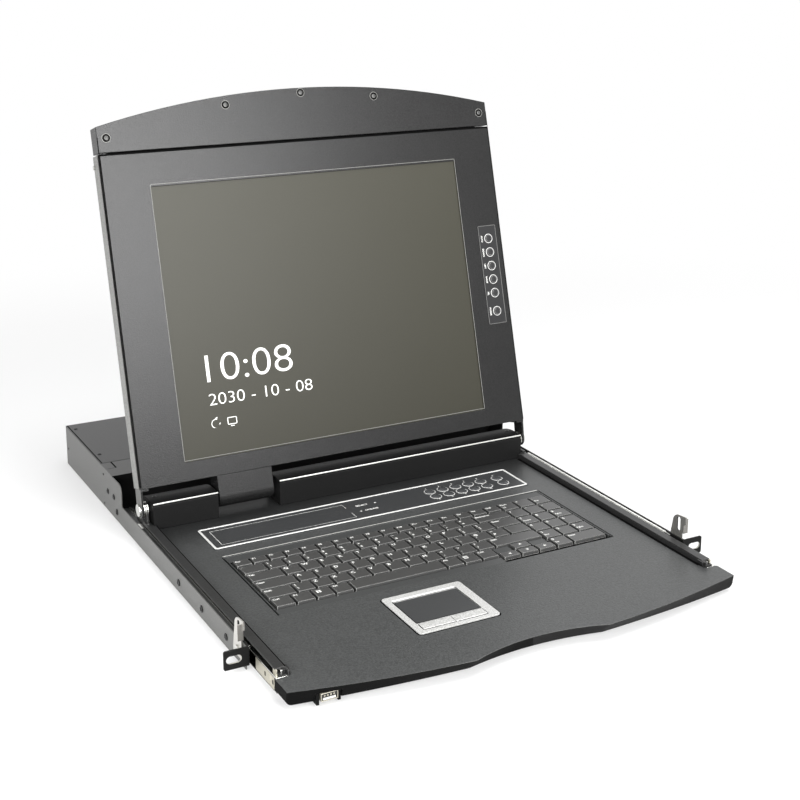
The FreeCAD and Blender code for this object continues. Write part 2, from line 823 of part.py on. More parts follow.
def make_touchpad():
    """Silver frame with a body that stands on the pan's floor, a dark pad and two buttons."""
    frame = new_body("touchpad_frame")
    left = -cell("pad_left")
    front = -cell("pad_front")
    right = left + cell("pad_width")
    back = front + cell("pad_length")
    top = deck_high + cell("pad_lip")
    pad(frame, "XY", deck_high, top, rectangle(left, front, right, back))
    low_x, low_y, high_x, high_y = pad_block(0)
    pad(frame, "XY", pan_floor, deck_high, rectangle(low_x, low_y, high_x, high_y))
    pad_floor = deck_high - 0.7
    rim = cell("pad_frame")
    well_low = front + cell("pad_button_front")
    well_high = well_low + cell("pad_button_length")
    window = (left + rim, well_high + cell("pad_bar"), right - rim - 2.8, back - cell("pad_back_frame"))
    pocket(frame, "XY", pad_floor, top, rectangle(*window))
    button_floor = deck_high - 3.7
    well = (left + rim + 0.5, well_low, right - rim - 3.3, well_high)
    pocket(frame, "XY", button_floor, top, rectangle(*well))
    surface = new_body("touchpad_pad")
    x_low, y_low, x_high, y_high = window
    inset = rectangle(x_low + fit_gap, y_low + fit_gap, x_high - fit_gap, y_high - fit_gap)
    pad(surface, "XY", pad_floor, deck_high + 0.5, inset)
    x_low, y_low, x_high, y_high = well
    middle = (x_low + x_high) / 2
    low = button_floor + cell("button_travel") + fit_gap
    for name, start, end in (("left", x_low + fit_gap, middle - fit_gap), ("right", middle + fit_gap, x_high - fit_gap)):
        button = new_body(f"touchpad_button_{name}")
        pad(button, "XY", low, top + 0.6, rectangle(start, y_low + fit_gap, end, y_high - fit_gap))


def make_status_panel():
    """Overlay plate on the deck, with a board block below it and a bore for each button."""
    body = new_body("status_panel")
    high = deck_high + cell("panel_plate")
    pad(body, "XY", deck_high, high, rectangle(-panel_side, panel_front, panel_side, panel_back))
    left, front, right, back = button_block(0)
    pad(body, "XY", pan_floor, deck_high, rectangle(left, front, right, back))
    floor = deck_high - 2.3
    bore = cell("button_radius") + cell("button_play")
    bores = [Circle(across, up, bore) for up in status_lines for across in status_columns]
    pocket(body, "XY", floor, high, *bores)
    low = floor + cell("button_travel") + 0.1
    length = high + cell("button_proud") - low
    spots = [(across, up) for up in status_lines for across in status_columns]
    for number, (across, up) in enumerate(spots, start=1):
        button = rod(f"status_button_{number}", "Z", (across, up, low), cell("button_radius"), length)
        button.Label = f"status_button_{number}"


def make_usb_socket():
    """Steel receptacle with its tongue, between two black side tabs that reach below the palm rest."""
    middle = -palm_side + cell("socket_inset")
    front = palm_front - cell("socket_proud")
    back = palm_front + cell("socket_depth")
    high = deck_low - 3
    low = high - 6.8
    shell = block("socket_shell", (middle - 7.2, front, low), (middle + 7.2, back, high))
    mouth = block("socket_mouth", (middle - 6.6, front - 1, low + 0.6), (middle + 6.6, back - 4, high - 0.6))
    receptacle = doc.addObject("Part::Cut", "receptacle")
    receptacle.Base = shell
    receptacle.Tool = mouth
    tongue = block("socket_tongue", (middle - 5.6, front + 1.5, high - 2.8), (middle + 5.6, back - 4, high - 1))
    tabs = []
    for name, start in (("left", middle - 10.4), ("right", middle + 8)):
        tabs.append(block(f"socket_tab_{name}", (start, front + 2, pan_low - 2.6), (start + 2.4, back, high)))
    group("usb_socket", [receptacle, tongue, *tabs])


def make_hinge_cover(name, left, right):
    """Long cowl across the back of the deck: upright front, rounded front edge and a crowned top."""
    body = new_body(f"hinge_cover_{name}")
    front = cover_front
    high = cell("cover_top")
    wall = cell("cover_wall")
    outline = [
        (front, deck_high),
        (tray_back, deck_high),
        (tray_back, high - 3.4),
        Arc((front + 19, high), (front + 1.2, high - 1.4)),
        (front, high - 2.6),
    ]
    pad(body, "YZ", left, right, outline)
    inset = cover_end - tray_side + fit_gap
    side = -1 if name == "left" else 1
    low, far = spans(side, tray_side - fit_gap, cover_end + 1)
    pocket(body, "XY", deck_high - 1, flange_high + fit_gap, rectangle(low, front - 1, far, tray_back + 1))
    hollow = rectangle(left + inset + wall, front + wall, right - inset - wall, tray_back - wall)
    pocket(body, "XY", deck_high, high - 3.6 - wall, hollow)


def make_hinge_brackets():
    """Upright steel lugs on the tray's flanges that carry the display's pins."""
    solids = []
    for name, side in (("left", -1), ("right", 1)):
        body = new_body(f"hinge_bracket_{name}")
        radius = cell("arm_radius") - 1
        inner = cover_end + 2
        low, high = spans(side, inner, inner + 2)
        lug = [
            (hinge_back - radius, flange_high),
            (hinge_back + radius, flange_high),
            (hinge_back + radius, hinge_height),
            Arc((hinge_back, hinge_height + radius), (hinge_back - radius, hinge_height)),
        ]
        pad(body, "YZ", low, high, lug, Circle(hinge_back, hinge_height, cell("pin_radius") + cell("pin_play")))
        low, high = spans(side, inner + 2, flange_side)
        foot_reach = cell("lug_foot")
        foot = rectangle(hinge_back - foot_reach, flange_high, hinge_back + foot_reach, flange_high + 2)
        pad(body, "YZ", low, high, foot)
        solids.append(body)
    group("hinge_brackets", solids)


def make_hinge_pins():
    """Pins of the display's friction hinges, each with a head outside the arm and a disc inside it."""
    solids = []
    radius = cell("pin_radius")
    head = cell("washer_radius")
    arm_out = display_side
    for name, side in (("left", -1), ("right", 1)):
        start = cover_end + 0.5
        low, _ = spans(side, start, arm_out + 0.3)
        solids.append(rod(f"pin_{name}", "X", (low, hinge_back, hinge_height), radius, arm_out + 0.3 - start))
        low, _ = spans(side, start, cover_end + 2)
        solids.append(rod(f"nut_{name}", "X", (low, hinge_back, hinge_height), radius + 1, 1.5))
        low, _ = spans(side, arm_out + 0.3, arm_out + 1.9)
        solids.append(rod(f"pin_head_{name}", "X", (low, hinge_back, hinge_height), head, 1.6))
        disc_low = arm_out - cell("arm_plate") - 0.3 - 1.6
        low, _ = spans(side, disc_low, disc_low + 1.6)
        disc = rod(f"disc_{name}", "X", (low, hinge_back, hinge_height), head, 1.6)
        solids.append(disc)
    fuse("hinge_pins", solids)


def make_back_shell():
    """Folded back of the display, with a rim that carries the front bezel."""
    body = new_body("lcd_back_shell")
    rim = face - cell("bezel_plate") - cell("groove_width")
    inner = display_side - plate
    lip = display_side - 4.5
    pad(body, "XY", display_back, rim, rectangle(-display_side, display_low, display_side, display_high))
    room = rectangle(-inner, display_low + plate, inner, display_high - plate)
    pocket(body, "XY", display_back + plate, rim - plate, room)
    pocket(body, "XY", rim - plate, rim, rectangle(-lip, display_low + 4.5, lip, display_high - 4.5))
    lay_on_display(body)


def make_front_bezel():
    """Flat front of the display with the screen's opening, on an inset ring that makes a dark groove."""
    body = new_body("lcd_front_bezel")
    back = face - cell("bezel_plate")
    rim = back - cell("groove_width")
    half = display_side - cell("screen_rim")
    low = screen_low
    high = low + cell("screen_height")
    side = strip_block(fit_gap)
    opening = rectangle(-half, low, half, high)
    sheet_edge = rectangle(-display_side, display_low, display_side, display_high)
    pad(body, "XY", back, face, sheet_edge, opening, rectangle(*side))
    inset = cell("groove_inset")
    ring = display_side - inset
    wall = 1.5
    outer = rectangle(-ring, display_low + inset, ring, display_high - inset)
    inner = rectangle(-ring + wall, display_low + inset + wall, ring - wall, display_high - inset - wall)
    pad(body, "XY", rim, back, outer, inner)
    lay_on_display(body)


def strip_block(gap):
    """Plan of the button strip's body behind the bezel, grown by a gap."""
    left, low, right, high = strip_plan()
    return left + 2 - gap, low + 2 - gap, right - 2 + gap, high - 2 + gap


def strip_plan():
    """Left, low, right and high edge of the button strip."""
    right = display_side - cell("strip_inset")
    low = display_low + cell("strip_low")
    return right - cell("strip_width"), low, right, low + cell("strip_length")


def make_panel():
    """Flat display module between the bezel and the back shell."""
    body = new_body("lcd_panel")
    half = display_side - cell("screen_rim") + 4
    low = screen_low - 4
    high = low + cell("screen_height") + 8
    pad(body, "XY", display_back + plate, face - cell("bezel_plate"), rectangle(-half, low, half, high))
    lay_on_display(body)


def make_arch_trim():
    """Moulded arch on top of the display, which is the drawer's handle when the display lies flat."""
    body = new_body("arch_trim")
    low = display_high + cell("arch_gap")
    back = face - cell("arch_depth")
    side = display_side
    top = low + cell("arch_side")
    outline = [
        (-side, low),
        (side, low),
        (side, top),
        Arc((0, top + cell("arch_crown")), (-side, top)),
    ]
    pad(body, "XY", back, face, outline)
    tongue = rectangle(-side + 12, display_high, side - 12, low)
    pad(body, "XY", back + 2, face - 7.5, tongue)
    lay_on_display(body)


# Strip buttons of the display, as shares of the strip's length.
OSD_SHARES = [0.866, 0.727, 0.589, 0.451, 0.313, 0.128]


def make_osd_strip():
    """Strip of display buttons: an overlay on the bezel with a bored body behind it."""
    body = new_body("osd_strip")
    left, foot, right, crest = strip_plan()
    across = left + cell("strip_width") * 0.53
    spots = [foot + share * cell("strip_length") for share in OSD_SHARES]
    high = face + 0.5
    pad(body, "XY", face, high, rectangle(left, foot, right, crest))
    pad(body, "XY", face - 6, face, rectangle(*strip_block(0)))
    floor = face - 3
    bore = cell("osd_radius") + cell("button_play")
    pocket(body, "XY", floor, high, *[Circle(across, up, bore) for up in spots])
    lay_on_display(body)
    low = floor + cell("button_travel") + 0.1
    for number, up in enumerate(spots, start=1):
        button = new_body(f"osd_button_{number}")
        pad(button, "XY", low, high + 0.5, Circle(across, up, cell("osd_radius")))
        lay_on_display(button)


def make_hinge_arms():
    """Steel arms from the display's lower corners down to the hinge pins."""
    arms = []
    for name, side in (("left", -1), ("right", 1)):
        body = new_body(f"hinge_arm_{name}")
        radius = cell("arm_radius")
        inner = display_side - cell("arm_plate")
        low, high = spans(side, inner, display_side)
        lug = [
            (display_low, face - 1),
            (display_low, -6),
            (0, -radius),
            Arc((-radius, 0), (0, radius)),
        ]
        bore = Circle(0, 0, cell("pin_radius") + cell("pin_play"))
        pad(body, "YZ", low, high, lug, bore)
        low, high = spans(side, cover_end + 0.7, display_side)
        foot = rectangle(display_low - 2.2, -6, display_low, face - 1)
        pad(body, "YZ", low, high, foot)
        arms.append(body)
    lay_on_display(group("lcd_hinge_arms", arms))


def make_neck():
    """Hollow-looking neck between the hinge covers, with a barrel about the hinge axis."""
    body = new_body("lcd_neck")
    back = -face + 2
    outline = [
        (display_low, back),
        (0, back - 2),
        Arc((-face, 0), (0, face)),
        (display_low, face),
    ]
    pad(body, "YZ", -cell("neck_left"), -cell("neck_right"), outline)
    lay_on_display(body)


def make_studs():
    """Stop studs on the display's sides, near its upper corners."""
    studs = []
    for name, side in (("left", -1), ("right", 1)):
        low, _ = spans(side, display_side, display_side + 1.6)
        studs.append(rod(f"stud_{name}", "X", (low, display_high - 10.7, display_back + 3.6), 2.2, 1.6))
    lay_on_display(group("lcd_studs", studs))


both_sides(make_side_plate)
both_sides(make_rack_ear)
make_rear_box_shell()
make_rear_box_cover()
make_rear_box_boards()
make_rear_sockets()
make_slides()
make_lever_pins()
both_sides(make_latch_lever)
make_keyboard_deck()
make_drawer_pan()
make_key_rows()
make_keyboard_base()
make_touchpad()
make_status_panel()
make_usb_socket()
make_hinge_cover("left", -cover_end, -cell("neck_left") - cell("neck_gap_left"))
make_hinge_cover("right", -cell("neck_right") + cell("neck_gap_right"), cover_end)
make_hinge_brackets()
make_hinge_pins()
make_back_shell()
make_front_bezel()
make_panel()
make_arch_trim()
make_osd_strip()
make_hinge_arms()
make_neck()
make_studs()
doc.recompute()

NODES = [
    "rear_box_shell", "rear_box_cover", "side_plate_left", "side_plate_right", "rack_ear_left", "rack_ear_right",
    "slide_outers", "slide_middles", "slide_inners", "lever_pins", "rear_box_boards", "rear_sockets",
    "latch_lever_left", "latch_lever_right", "keyboard_deck", "drawer_pan", "keyboard_base", "touchpad_frame",
    "touchpad_pad", "touchpad_button_left", "touchpad_button_right", "status_panel", "usb_socket",
    "hinge_cover_left", "hinge_cover_right", "hinge_brackets", "hinge_pins", "lcd_back_shell",
    "lcd_front_bezel", "lcd_panel", "arch_trim", "lcd_hinge_arms", "lcd_neck", "osd_strip", "lcd_studs",
    *[f"osd_button_{number}" for number in range(1, 7)],
    *[f"status_button_{number}" for number in range(1, 13)],
    *[f"key_row_{number}" for number in range(1, 7)],
]

# Nothing is written unless every object is sound and every cut has taken something away.
for thing in doc.Objects:
    if "Invalid" in thing.State or "Error" in thing.State:
        raise RuntimeError(f"{thing.Label} failed: {thing.State}")
    if thing.TypeId == "PartDesign::Pocket" and thing.Shape.Volume >= thing.BaseFeature.Shape.Volume - 1e-6:
        raise RuntimeError(f"{thing.Label} cuts nothing")
shapes = {}
for node in NODES:
    shape = doc.getObjectsByLabel(node)[0].Shape
    if shape.isNull() or not shape.isValid():
        raise RuntimeError(f"{node} has no sound shape")
    shapes[node] = shape
for node, shape in shapes.items():
    shape.exportStep(f"parts/{node}.step")
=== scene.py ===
import json
import math

import bmesh
import bpy
import numpy as np
from mathutils import Matrix, Vector


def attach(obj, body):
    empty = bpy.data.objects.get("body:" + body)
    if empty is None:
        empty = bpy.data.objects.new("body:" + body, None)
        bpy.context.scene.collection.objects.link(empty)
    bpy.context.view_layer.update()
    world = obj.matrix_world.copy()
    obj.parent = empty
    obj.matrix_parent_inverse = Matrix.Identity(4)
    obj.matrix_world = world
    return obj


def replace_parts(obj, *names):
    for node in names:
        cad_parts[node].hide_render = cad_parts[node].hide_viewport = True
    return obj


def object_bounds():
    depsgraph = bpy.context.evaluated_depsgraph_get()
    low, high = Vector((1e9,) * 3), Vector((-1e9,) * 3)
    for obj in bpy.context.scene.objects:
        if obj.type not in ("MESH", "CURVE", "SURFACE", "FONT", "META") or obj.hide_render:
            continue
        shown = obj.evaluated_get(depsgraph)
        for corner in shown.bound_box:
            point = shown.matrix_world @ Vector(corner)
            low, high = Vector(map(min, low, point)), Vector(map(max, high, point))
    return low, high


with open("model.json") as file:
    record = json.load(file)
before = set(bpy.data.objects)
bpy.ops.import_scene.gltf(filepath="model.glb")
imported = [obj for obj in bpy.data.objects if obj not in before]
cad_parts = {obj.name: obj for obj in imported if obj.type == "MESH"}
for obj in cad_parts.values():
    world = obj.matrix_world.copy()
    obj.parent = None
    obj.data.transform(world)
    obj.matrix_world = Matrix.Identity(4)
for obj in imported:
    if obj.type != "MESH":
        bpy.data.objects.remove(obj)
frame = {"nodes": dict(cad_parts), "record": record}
cad_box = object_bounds()

# Rear box and side plates
# Folded steel sheet, 1.2 mm, powder coated charcoal with a fine grain. The box holds the power supply and the
# video board; its lid is a separate sheet held by screws, and the low rails run forward to the rack ears.
MM = 0.001
BODY_OF = {node: body for body, nodes in frame["record"]["behaviour"]["bodies"].items() for node in nodes}


def srgb(code):
    """A hex colour as linear red, green, blue and alpha."""
    parts = [int(code[place:place + 2], 16) / 255 for place in (1, 3, 5)]
    return tuple(((part + 0.055) / 1.055) ** 2.4 if part > 0.04045 else part / 12.92 for part in parts) + (1.0,)


def add(tree, kind, links=None, **settings):
    """Add one node: settings are its properties, or values of its inputs, and links feed its inputs."""
    made = tree.nodes.new("ShaderNode" + kind)
    for name, value in settings.items():
        if hasattr(made, name):
            setattr(made, name, value)
        else:
            made.inputs[name.replace("_", " ").title()].default_value = value
    for socket, source in (links or {}).items():
        tree.links.new(source, made.inputs[socket])
    return made


def grained(name, colour, shade, grain, depth, roughness, metallic=0.0, edge=None, spread=0.06, gloss=0.5,
            edge_width=0.5, edge_strength=0.6):
    """A coated, moulded or plated surface.

    The colour drifts slowly between two tones, colour and shade. Cells of grain millimetres tint it by spread,
    raise it by depth and vary its roughness. gloss is its specular level. Where edge is given, edges show that
    colour as a line edge_width millimetres wide, which covers the share edge_strength of the coat: on some coats
    a line of rubbing, on others a painted highlight. Real grains of 0.1 to 0.5 mm are drawn at 0.5 to 1.8 mm, so
    that they show at the photograph's distance."""
    material = bpy.data.materials.new(name)
    material.use_nodes = True
    tree = material.node_tree
    tree.nodes.clear()
    place = add(tree, "TexCoord").outputs["Object"]
    drift = add(tree, "TexNoise", {"Vector": place}, Scale=9.0, Detail=3.0, Roughness=0.55)
    speck = add(tree, "TexNoise", {"Vector": place}, Scale=1000.0 / grain, Detail=2.0, Roughness=0.6)
    tones = add(tree, "Mix", {0: drift.outputs["Fac"]}, data_type="RGBA")
    tones.inputs[6].default_value = srgb(colour)
    tones.inputs[7].default_value = srgb(shade)
    cells = add(tree, "MapRange", {"Value": speck.outputs["Fac"]}, from_min=0.32, from_max=0.68)
    tint = add(tree, "Mix", {6: tones.outputs[2], 7: cells.outputs[0]}, data_type="RGBA", blend_type="OVERLAY")
    tint.inputs[0].default_value = spread
    base = tint.outputs[2]
    if edge:
        # The edge line is a line of rubbing on some coats and a painted highlight on others.
        soft = add(tree, "Bevel", samples=4, Radius=edge_width * MM)
        sharp = add(tree, "NewGeometry").outputs["Normal"]
        turn = add(tree, "VectorMath", {0: soft.outputs[0], 1: sharp}, operation="DOT_PRODUCT")
        edge_line_mask = add(tree, "MapRange", {"Value": turn.outputs["Value"]}, from_min=0.97, from_max=0.80, to_max=edge_strength)
        rubbing_and_highlight = add(tree, "Mix", {0: edge_line_mask.outputs[0], 6: base}, data_type="RGBA")
        rubbing_and_highlight.inputs[7].default_value = srgb(edge)
        base = rubbing_and_highlight.outputs[2]
    rough = add(tree, "MapRange", {"Value": speck.outputs["Fac"]}, to_min=roughness - 0.06,
                to_max=roughness + 0.06)
    bump = add(tree, "Bump", {"Height": speck.outputs["Fac"]}, Strength=depth, Distance=grain * 0.25 * MM)
    surface = add(tree, "BsdfPrincipled", {"Base Color": base, "Roughness": rough.outputs[0],
                                           "Normal": bump.outputs[0]}, Metallic=metallic)
    surface.inputs["Specular IOR Level"].default_value = gloss
    add(tree, "OutputMaterial", {"Surface": surface.outputs[0]})
    return material


def surface_of(material):
    """The node that holds a material's colour, gloss and glow."""
    return next(node for node in material.node_tree.nodes if node.bl_idname == "ShaderNodeBsdfPrincipled")


def dress(material, *names):
    """Give CAD nodes a material, in place of their plain ones."""
    for name in names:
        node = frame["nodes"][name]
        node.data.materials.clear()
        node.data.materials.append(material)


def new_piece(name, mesh, material, body):
    """An object for one finished mesh, with its material, riding on a body."""
    piece = bpy.data.objects.new(name, mesh)
    bpy.context.scene.collection.objects.link(piece)
    mesh.materials.clear()
    mesh.materials.append(material)
    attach(piece, body)
    return piece


def spots_of(mesh):
    """The places of a mesh's vertices, one row each."""
    spots = np.empty(len(mesh.vertices) * 3)
    mesh.vertices.foreach_get("co", spots)
    return spots.reshape(-1, 3)


def box_of(node):
    """The low and high corners of a CAD node's box, in millimetres."""
    spots = spots_of(frame["nodes"][node].data) / MM
    return spots.min(axis=0).round(2), spots.max(axis=0).round(2)


def smooth(mesh, angle=35):
    """Shade a mesh smooth, with sharp edges kept past an angle."""
    mesh.polygons.foreach_set("use_smooth", np.ones(len(mesh.polygons), dtype=bool))
    mesh.set_sharp_from_angle(angle=math.radians(angle))
    mesh.update()


def soften(node, material, width, segments=2):
    """A copy of a CAD node with its doubles merged, flat faces joined and its edges rounded by width.

    The normals are weighted by the faces' areas, so that wide flat faces shade evenly up to the rounding."""
    work = bmesh.new()
    work.from_mesh(frame["nodes"][node].data)
    bmesh.ops.remove_doubles(work, verts=work.verts, dist=1e-6)
    bmesh.ops.dissolve_limit(work, angle_limit=math.radians(0.5), verts=work.verts, edges=work.edges)
    mesh = bpy.data.meshes.new(node + "_shape")
    work.to_mesh(mesh)
    work.free()
    smooth(mesh)
    piece = new_piece(node + "_piece", mesh, material, BODY_OF[node])
    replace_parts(piece, node)
    rounding = piece.modifiers.new("rounding", "BEVEL")
    rounding.width = width * MM
    rounding.segments = segments
    rounding.limit_method = "ANGLE"
    rounding.angle_limit = math.radians(35)
    rounding.harden_normals = True
    evened = piece.modifiers.new("even_shading", "WEIGHTED_NORMAL")
    evened.keep_sharp = True
    return piece


def recoat(piece, material, chosen):
    """Give some faces of a piece one more material.

    chosen tests the faces' centres, in millimetres, and their normals."""
    faces = piece.data.polygons
    piece.data.materials.append(material)
    centres = np.array([face.center for face in faces]) / MM
    normals = np.array([face.normal for face in faces])
    given = np.empty(len(faces), dtype=np.int32)
    faces.foreach_get("material_index", given)
    faces.foreach_set("material_index", np.where(chosen(centres, normals), len(piece.data.materials) - 1, given))


def round_corners(piece, radius, axis, chosen):
    """Round the edges of a piece that run along an axis and whose middles, in millimetres, are chosen."""
    work = bmesh.new()
    work.from_mesh(piece.data)
    edges = []
    for edge in work.edges:
        run = (edge.verts[1].co - edge.verts[0].co).normalized()
        middle = (edge.verts[0].co + edge.verts[1].co) / 2 / MM
        if abs(run[axis]) > 0.999 and chosen(middle):
            edges.append(edge)
    bmesh.ops.bevel(work, geom=edges, offset=radius * MM, segments=5, affect="EDGES", profile=0.5)
    work.to_mesh(piece.data)
    work.free()
    smooth(piece.data)


def woven(name, points, closed=False):
    """Quads over a grid of points in millimetres, rows by columns, or over several such grids in one array.

    closed joins the last column to the first. The faces point along (next row) x (next column)."""
    rows, columns = points.shape[-3:-1]
    copies = points.reshape(-1, rows * columns, 3)
    index = np.arange(rows * columns).reshape(rows, columns)
    near, far = (index, np.roll(index, -1, axis=1)) if closed else (index[:, :-1], index[:, 1:])
    faces = np.stack([near[:-1], near[1:], far[1:], far[:-1]], axis=-1).reshape(-1, 4)
    faces = (faces[None] + (np.arange(len(copies)) * rows * columns)[:, None, None]).reshape(-1, 4)
    mesh = bpy.data.meshes.new(name)
    mesh.from_pydata((copies.reshape(-1, 3) * MM).tolist(), [], faces.tolist())
    work = bmesh.new()
    work.from_mesh(mesh)
    bmesh.ops.remove_doubles(work, verts=work.verts, dist=1e-7)
    work.to_mesh(mesh)
    work.free()
    smooth(mesh)
    return mesh


def flat_mesh(name, words, outlines, place):
    """A flat mesh of words and filled outlines.

    Each word is (text, left or middle, baseline, letter height, share of its width to the left of the point,
    turn in quarter circles). Outlines are closed lists of points, and one inside another is a hole. Everything
    is filled flat as a curve, made a mesh and then put in place by a function of flat points."""
    holders = []
    for text, across, up, height, share, turn in words:
        curve = bpy.data.curves.new(name, "FONT")
        curve.body = text
        curve.size = height / 0.685
        curve.resolution_u = 12 if height > 5 else 2
        curve.offset = (-0.012 if height > 5 else 0.025) * curve.size
        holders.append((bpy.data.objects.new(name, curve), across, up, share, turn))
    if len(outlines):
        curve = bpy.data.curves.new(name, "CURVE")
        curve.dimensions = "2D"
        curve.fill_mode = "BOTH"
        for outline in outlines:
            outline = np.array(outline, dtype=float)
            spline = curve.splines.new("POLY")
            spline.points.add(len(outline) - 1)
            flat = np.column_stack([outline, np.zeros(len(outline)), np.ones(len(outline))])
            spline.points.foreach_set("co", flat.ravel())
            spline.use_cyclic_u = True
        holders.append((bpy.data.objects.new(name, curve), 0, 0, 0, 0))
    for holder, *_ in holders:
        bpy.context.scene.collection.objects.link(holder)
    graph = bpy.context.evaluated_depsgraph_get()
    corners, faces, count = [], [], 0
    for holder, across, up, share, turn in holders:
        made = bpy.data.meshes.new_from_object(holder.evaluated_get(graph))
        spots = spots_of(made)
        spots[:, 0] -= share * (spots[:, 0].min() + spots[:, 0].max())
        quarter = turn * np.pi / 2
        level = np.column_stack([spots[:, 0] * np.cos(quarter) - spots[:, 1] * np.sin(quarter),
                                 spots[:, 0] * np.sin(quarter) + spots[:, 1] * np.cos(quarter)])
        corners.append(level + [across, up])
        faces += [[corner + count for corner in face.vertices] for face in made.polygons]
        count += len(spots)
        bpy.data.objects.remove(holder)
        bpy.data.meshes.remove(made)
    mesh = bpy.data.meshes.new(name)
    mesh.from_pydata((place(np.concatenate(corners)) * MM).tolist(), [], faces)
    mesh.update()
    return mesh


def printed(name, outlines, place, material, body, words=()):
    """A piece as thin as paint, of filled outlines and words."""
    return new_piece(name, flat_mesh(name, words, outlines, place), material, body)


def as_built(points):
    """Points across, back and up, left where they are."""
    return points


def at_level(level, place=as_built):
    """Puts flat points at one level of a place: a height, or a distance out of a wall or of the display."""
    return lambda flat: place(np.column_stack([flat, np.full(len(flat), level)]))


def ring(points, width):
    """The outer and inner outline of a line of this width along a closed loop, moved along its normals."""
    points = np.array(points, dtype=float)
    ahead = np.roll(points, -1, axis=0) - points
    ahead /= np.linalg.norm(ahead, axis=1, keepdims=True)
    before = np.roll(ahead, 1, axis=0)
    way = ahead + before
    way /= (1 + (ahead * before).sum(axis=1, keepdims=True))
    out = np.column_stack([way[:, 1], -way[:, 0]])
    return [points + out * width / 2, points - out * width / 2]


def rounded(left, low, right, high, radius, steps=5):
    """A rectangle's outline with round corners, counter-clockwise."""
    angle = np.linspace(0, np.pi / 2, steps)
    corners = [(right - radius, low + radius, -np.pi / 2), (right - radius, high - radius, 0),
               (left + radius, high - radius, np.pi / 2), (left + radius, low + radius, np.pi)]
    return np.concatenate([np.column_stack([across + radius * np.cos(start + angle),
                                            up + radius * np.sin(start + angle)])
                           for across, up, start in corners])


def circle(across, up, radius, steps=32):
    """A circle's outline, counter-clockwise."""
    angle = np.linspace(0, 2 * np.pi, steps, endpoint=False)
    return np.column_stack([across + radius * np.cos(angle), up + radius * np.sin(angle)])


def block(left, low, right, high):
    """A rectangle's corners, counter-clockwise."""
    return [(left, low), (right, low), (right, high), (left, high)]


def side_block(side, near, far, low, high):
    """A rectangle's corners between two distances from the middle, on one side: -1 or 1."""
    left, right = sorted((side * near, side * far))
    return block(left, low, right, high)


def screws(name, seats, radius, height, material, body):
    """Pan-head screws with a cross recess, one on each seat: a point in millimetres and the way it faces.

    On a polar grid the height is a dome that falls by a third at the rim and then drops to the seat. A cross is
    taken out of it: two bars 0.17 of the radius wide on each side of the middle, reaching 0.6 of the radius."""
    seats = np.array(seats, dtype=float)
    share = np.array([0, 0.1, 0.17, 0.26, 0.4, 0.54, 0.64, 0.78, 0.92, 1.0, 1.0])[:, None]
    angle = np.linspace(0, 2 * np.pi, 40, endpoint=False)[None]
    across, along = share * np.cos(angle), share * np.sin(angle)
    arm = np.minimum(abs(across), abs(along))
    reach = np.maximum(abs(across), abs(along))
    cross = np.clip((0.2 - arm) / 0.07, 0, 1) * np.clip((0.66 - reach) / 0.08, 0, 1)
    rise = height * (1 - 0.35 * share ** 2 - 0.6 * cross) * np.append(np.ones(10), 0)[:, None]
    facing = seats[:, 3:] / np.linalg.norm(seats[:, 3:], axis=1, keepdims=True)
    helper = np.where(abs(facing[:, :1]) > 0.8, [0.0, 1.0, 0.0], [1.0, 0.0, 0.0])
    side = np.cross(helper, facing)
    side /= np.linalg.norm(side, axis=1, keepdims=True)
    other = np.cross(facing, side)
    twist = (np.arange(len(seats)) * 2.4 + 0.5)[:, None]
    first = side * np.cos(twist) + other * np.sin(twist)
    second = other * np.cos(twist) - side * np.sin(twist)
    points = (seats[:, None, None, :3] + radius * across[None, :, :, None] * first[:, None, None]
              + radius * along[None, :, :, None] * second[:, None, None]
              + rise[None, :, :, None] * facing[:, None, None])
    return new_piece(name, woven(name, points, closed=True), material, body)


def on_plates(seats):
    """Seats at these places, back and up, on the outside of both side plates."""
    return [(side * plate_side, back, up, side, 0, 0) for side in (-1, 1) for back, up in seats]


LIFT = 0.03  # how far printing and painted gaps stand off what they lie on
plate_side = box_of("side_plate_right")[1][0]
lid_top = box_of("rear_box_cover")[1][2]

# Gaps and slots too fine to cut show as thin lines of dull black.
black_paint = grained("black_shadow_gap_paint", "#070707", "#0a0a0a", 1.0, 0.1, 0.8, gloss=0.03)

# Powder coat on steel: a dull charcoal whose grain breaks up reflections; worn edges show a paler line. The lid's
# coat is drawn darker, as painted shade on the box's top, and the rails' coat lighter, as painted light on the
# sides, with a bright painted highlight along their edges. Faces in shadow, on the box's front and inside the
# rails, are painted near black as painted shade.
chassis_coat = grained("powder_coated_chassis_steel", "#3a3a39", "#424241", 0.9, 0.5, 0.36, edge="#6e6e6c")
# Painted shade: a near-black coat for faces that lie in shadow.
painted_shade_coat = grained("near_black_painted_shade", "#0d0d0d", "#121212", 0.9, 0.4, 0.6, gloss=0.05)
# Painted shade: the box's front faces, behind the display, are near black.
recoat(soften("rear_box_shell", chassis_coat, 0.15), painted_shade_coat, lambda centres, normals: (
    normals[:, 1] < -0.8) & (centres[:, 1] < 375))
# Painted shade: the lid's coat is darker than the box's.
lid_shade_coat = grained("lid_coat_with_painted_shade", "#2b2b2b", "#303030", 0.9, 0.5, 0.38, edge="#6e6e6c")
soften("rear_box_cover", lid_shade_coat, 0.35)
# Painted light: the rails' coat is lighter than the box's, with a bright painted highlight on its edges.
lit_rail_coat = grained("rail_coat_painted_lighter", "#4a4a48", "#535351", 0.9, 0.4, 0.34, edge="#b0b0ac", edge_width=0.9)
SIDES = ((-1, "left"), (1, "right"))
for side, word in SIDES:
    # Painted shade: the plates' inner faces are near black.
    recoat(soften(f"side_plate_{word}", lit_rail_coat, 0.35), painted_shade_coat,
           lambda centres, normals: normals[:, 0] * side < -0.8)

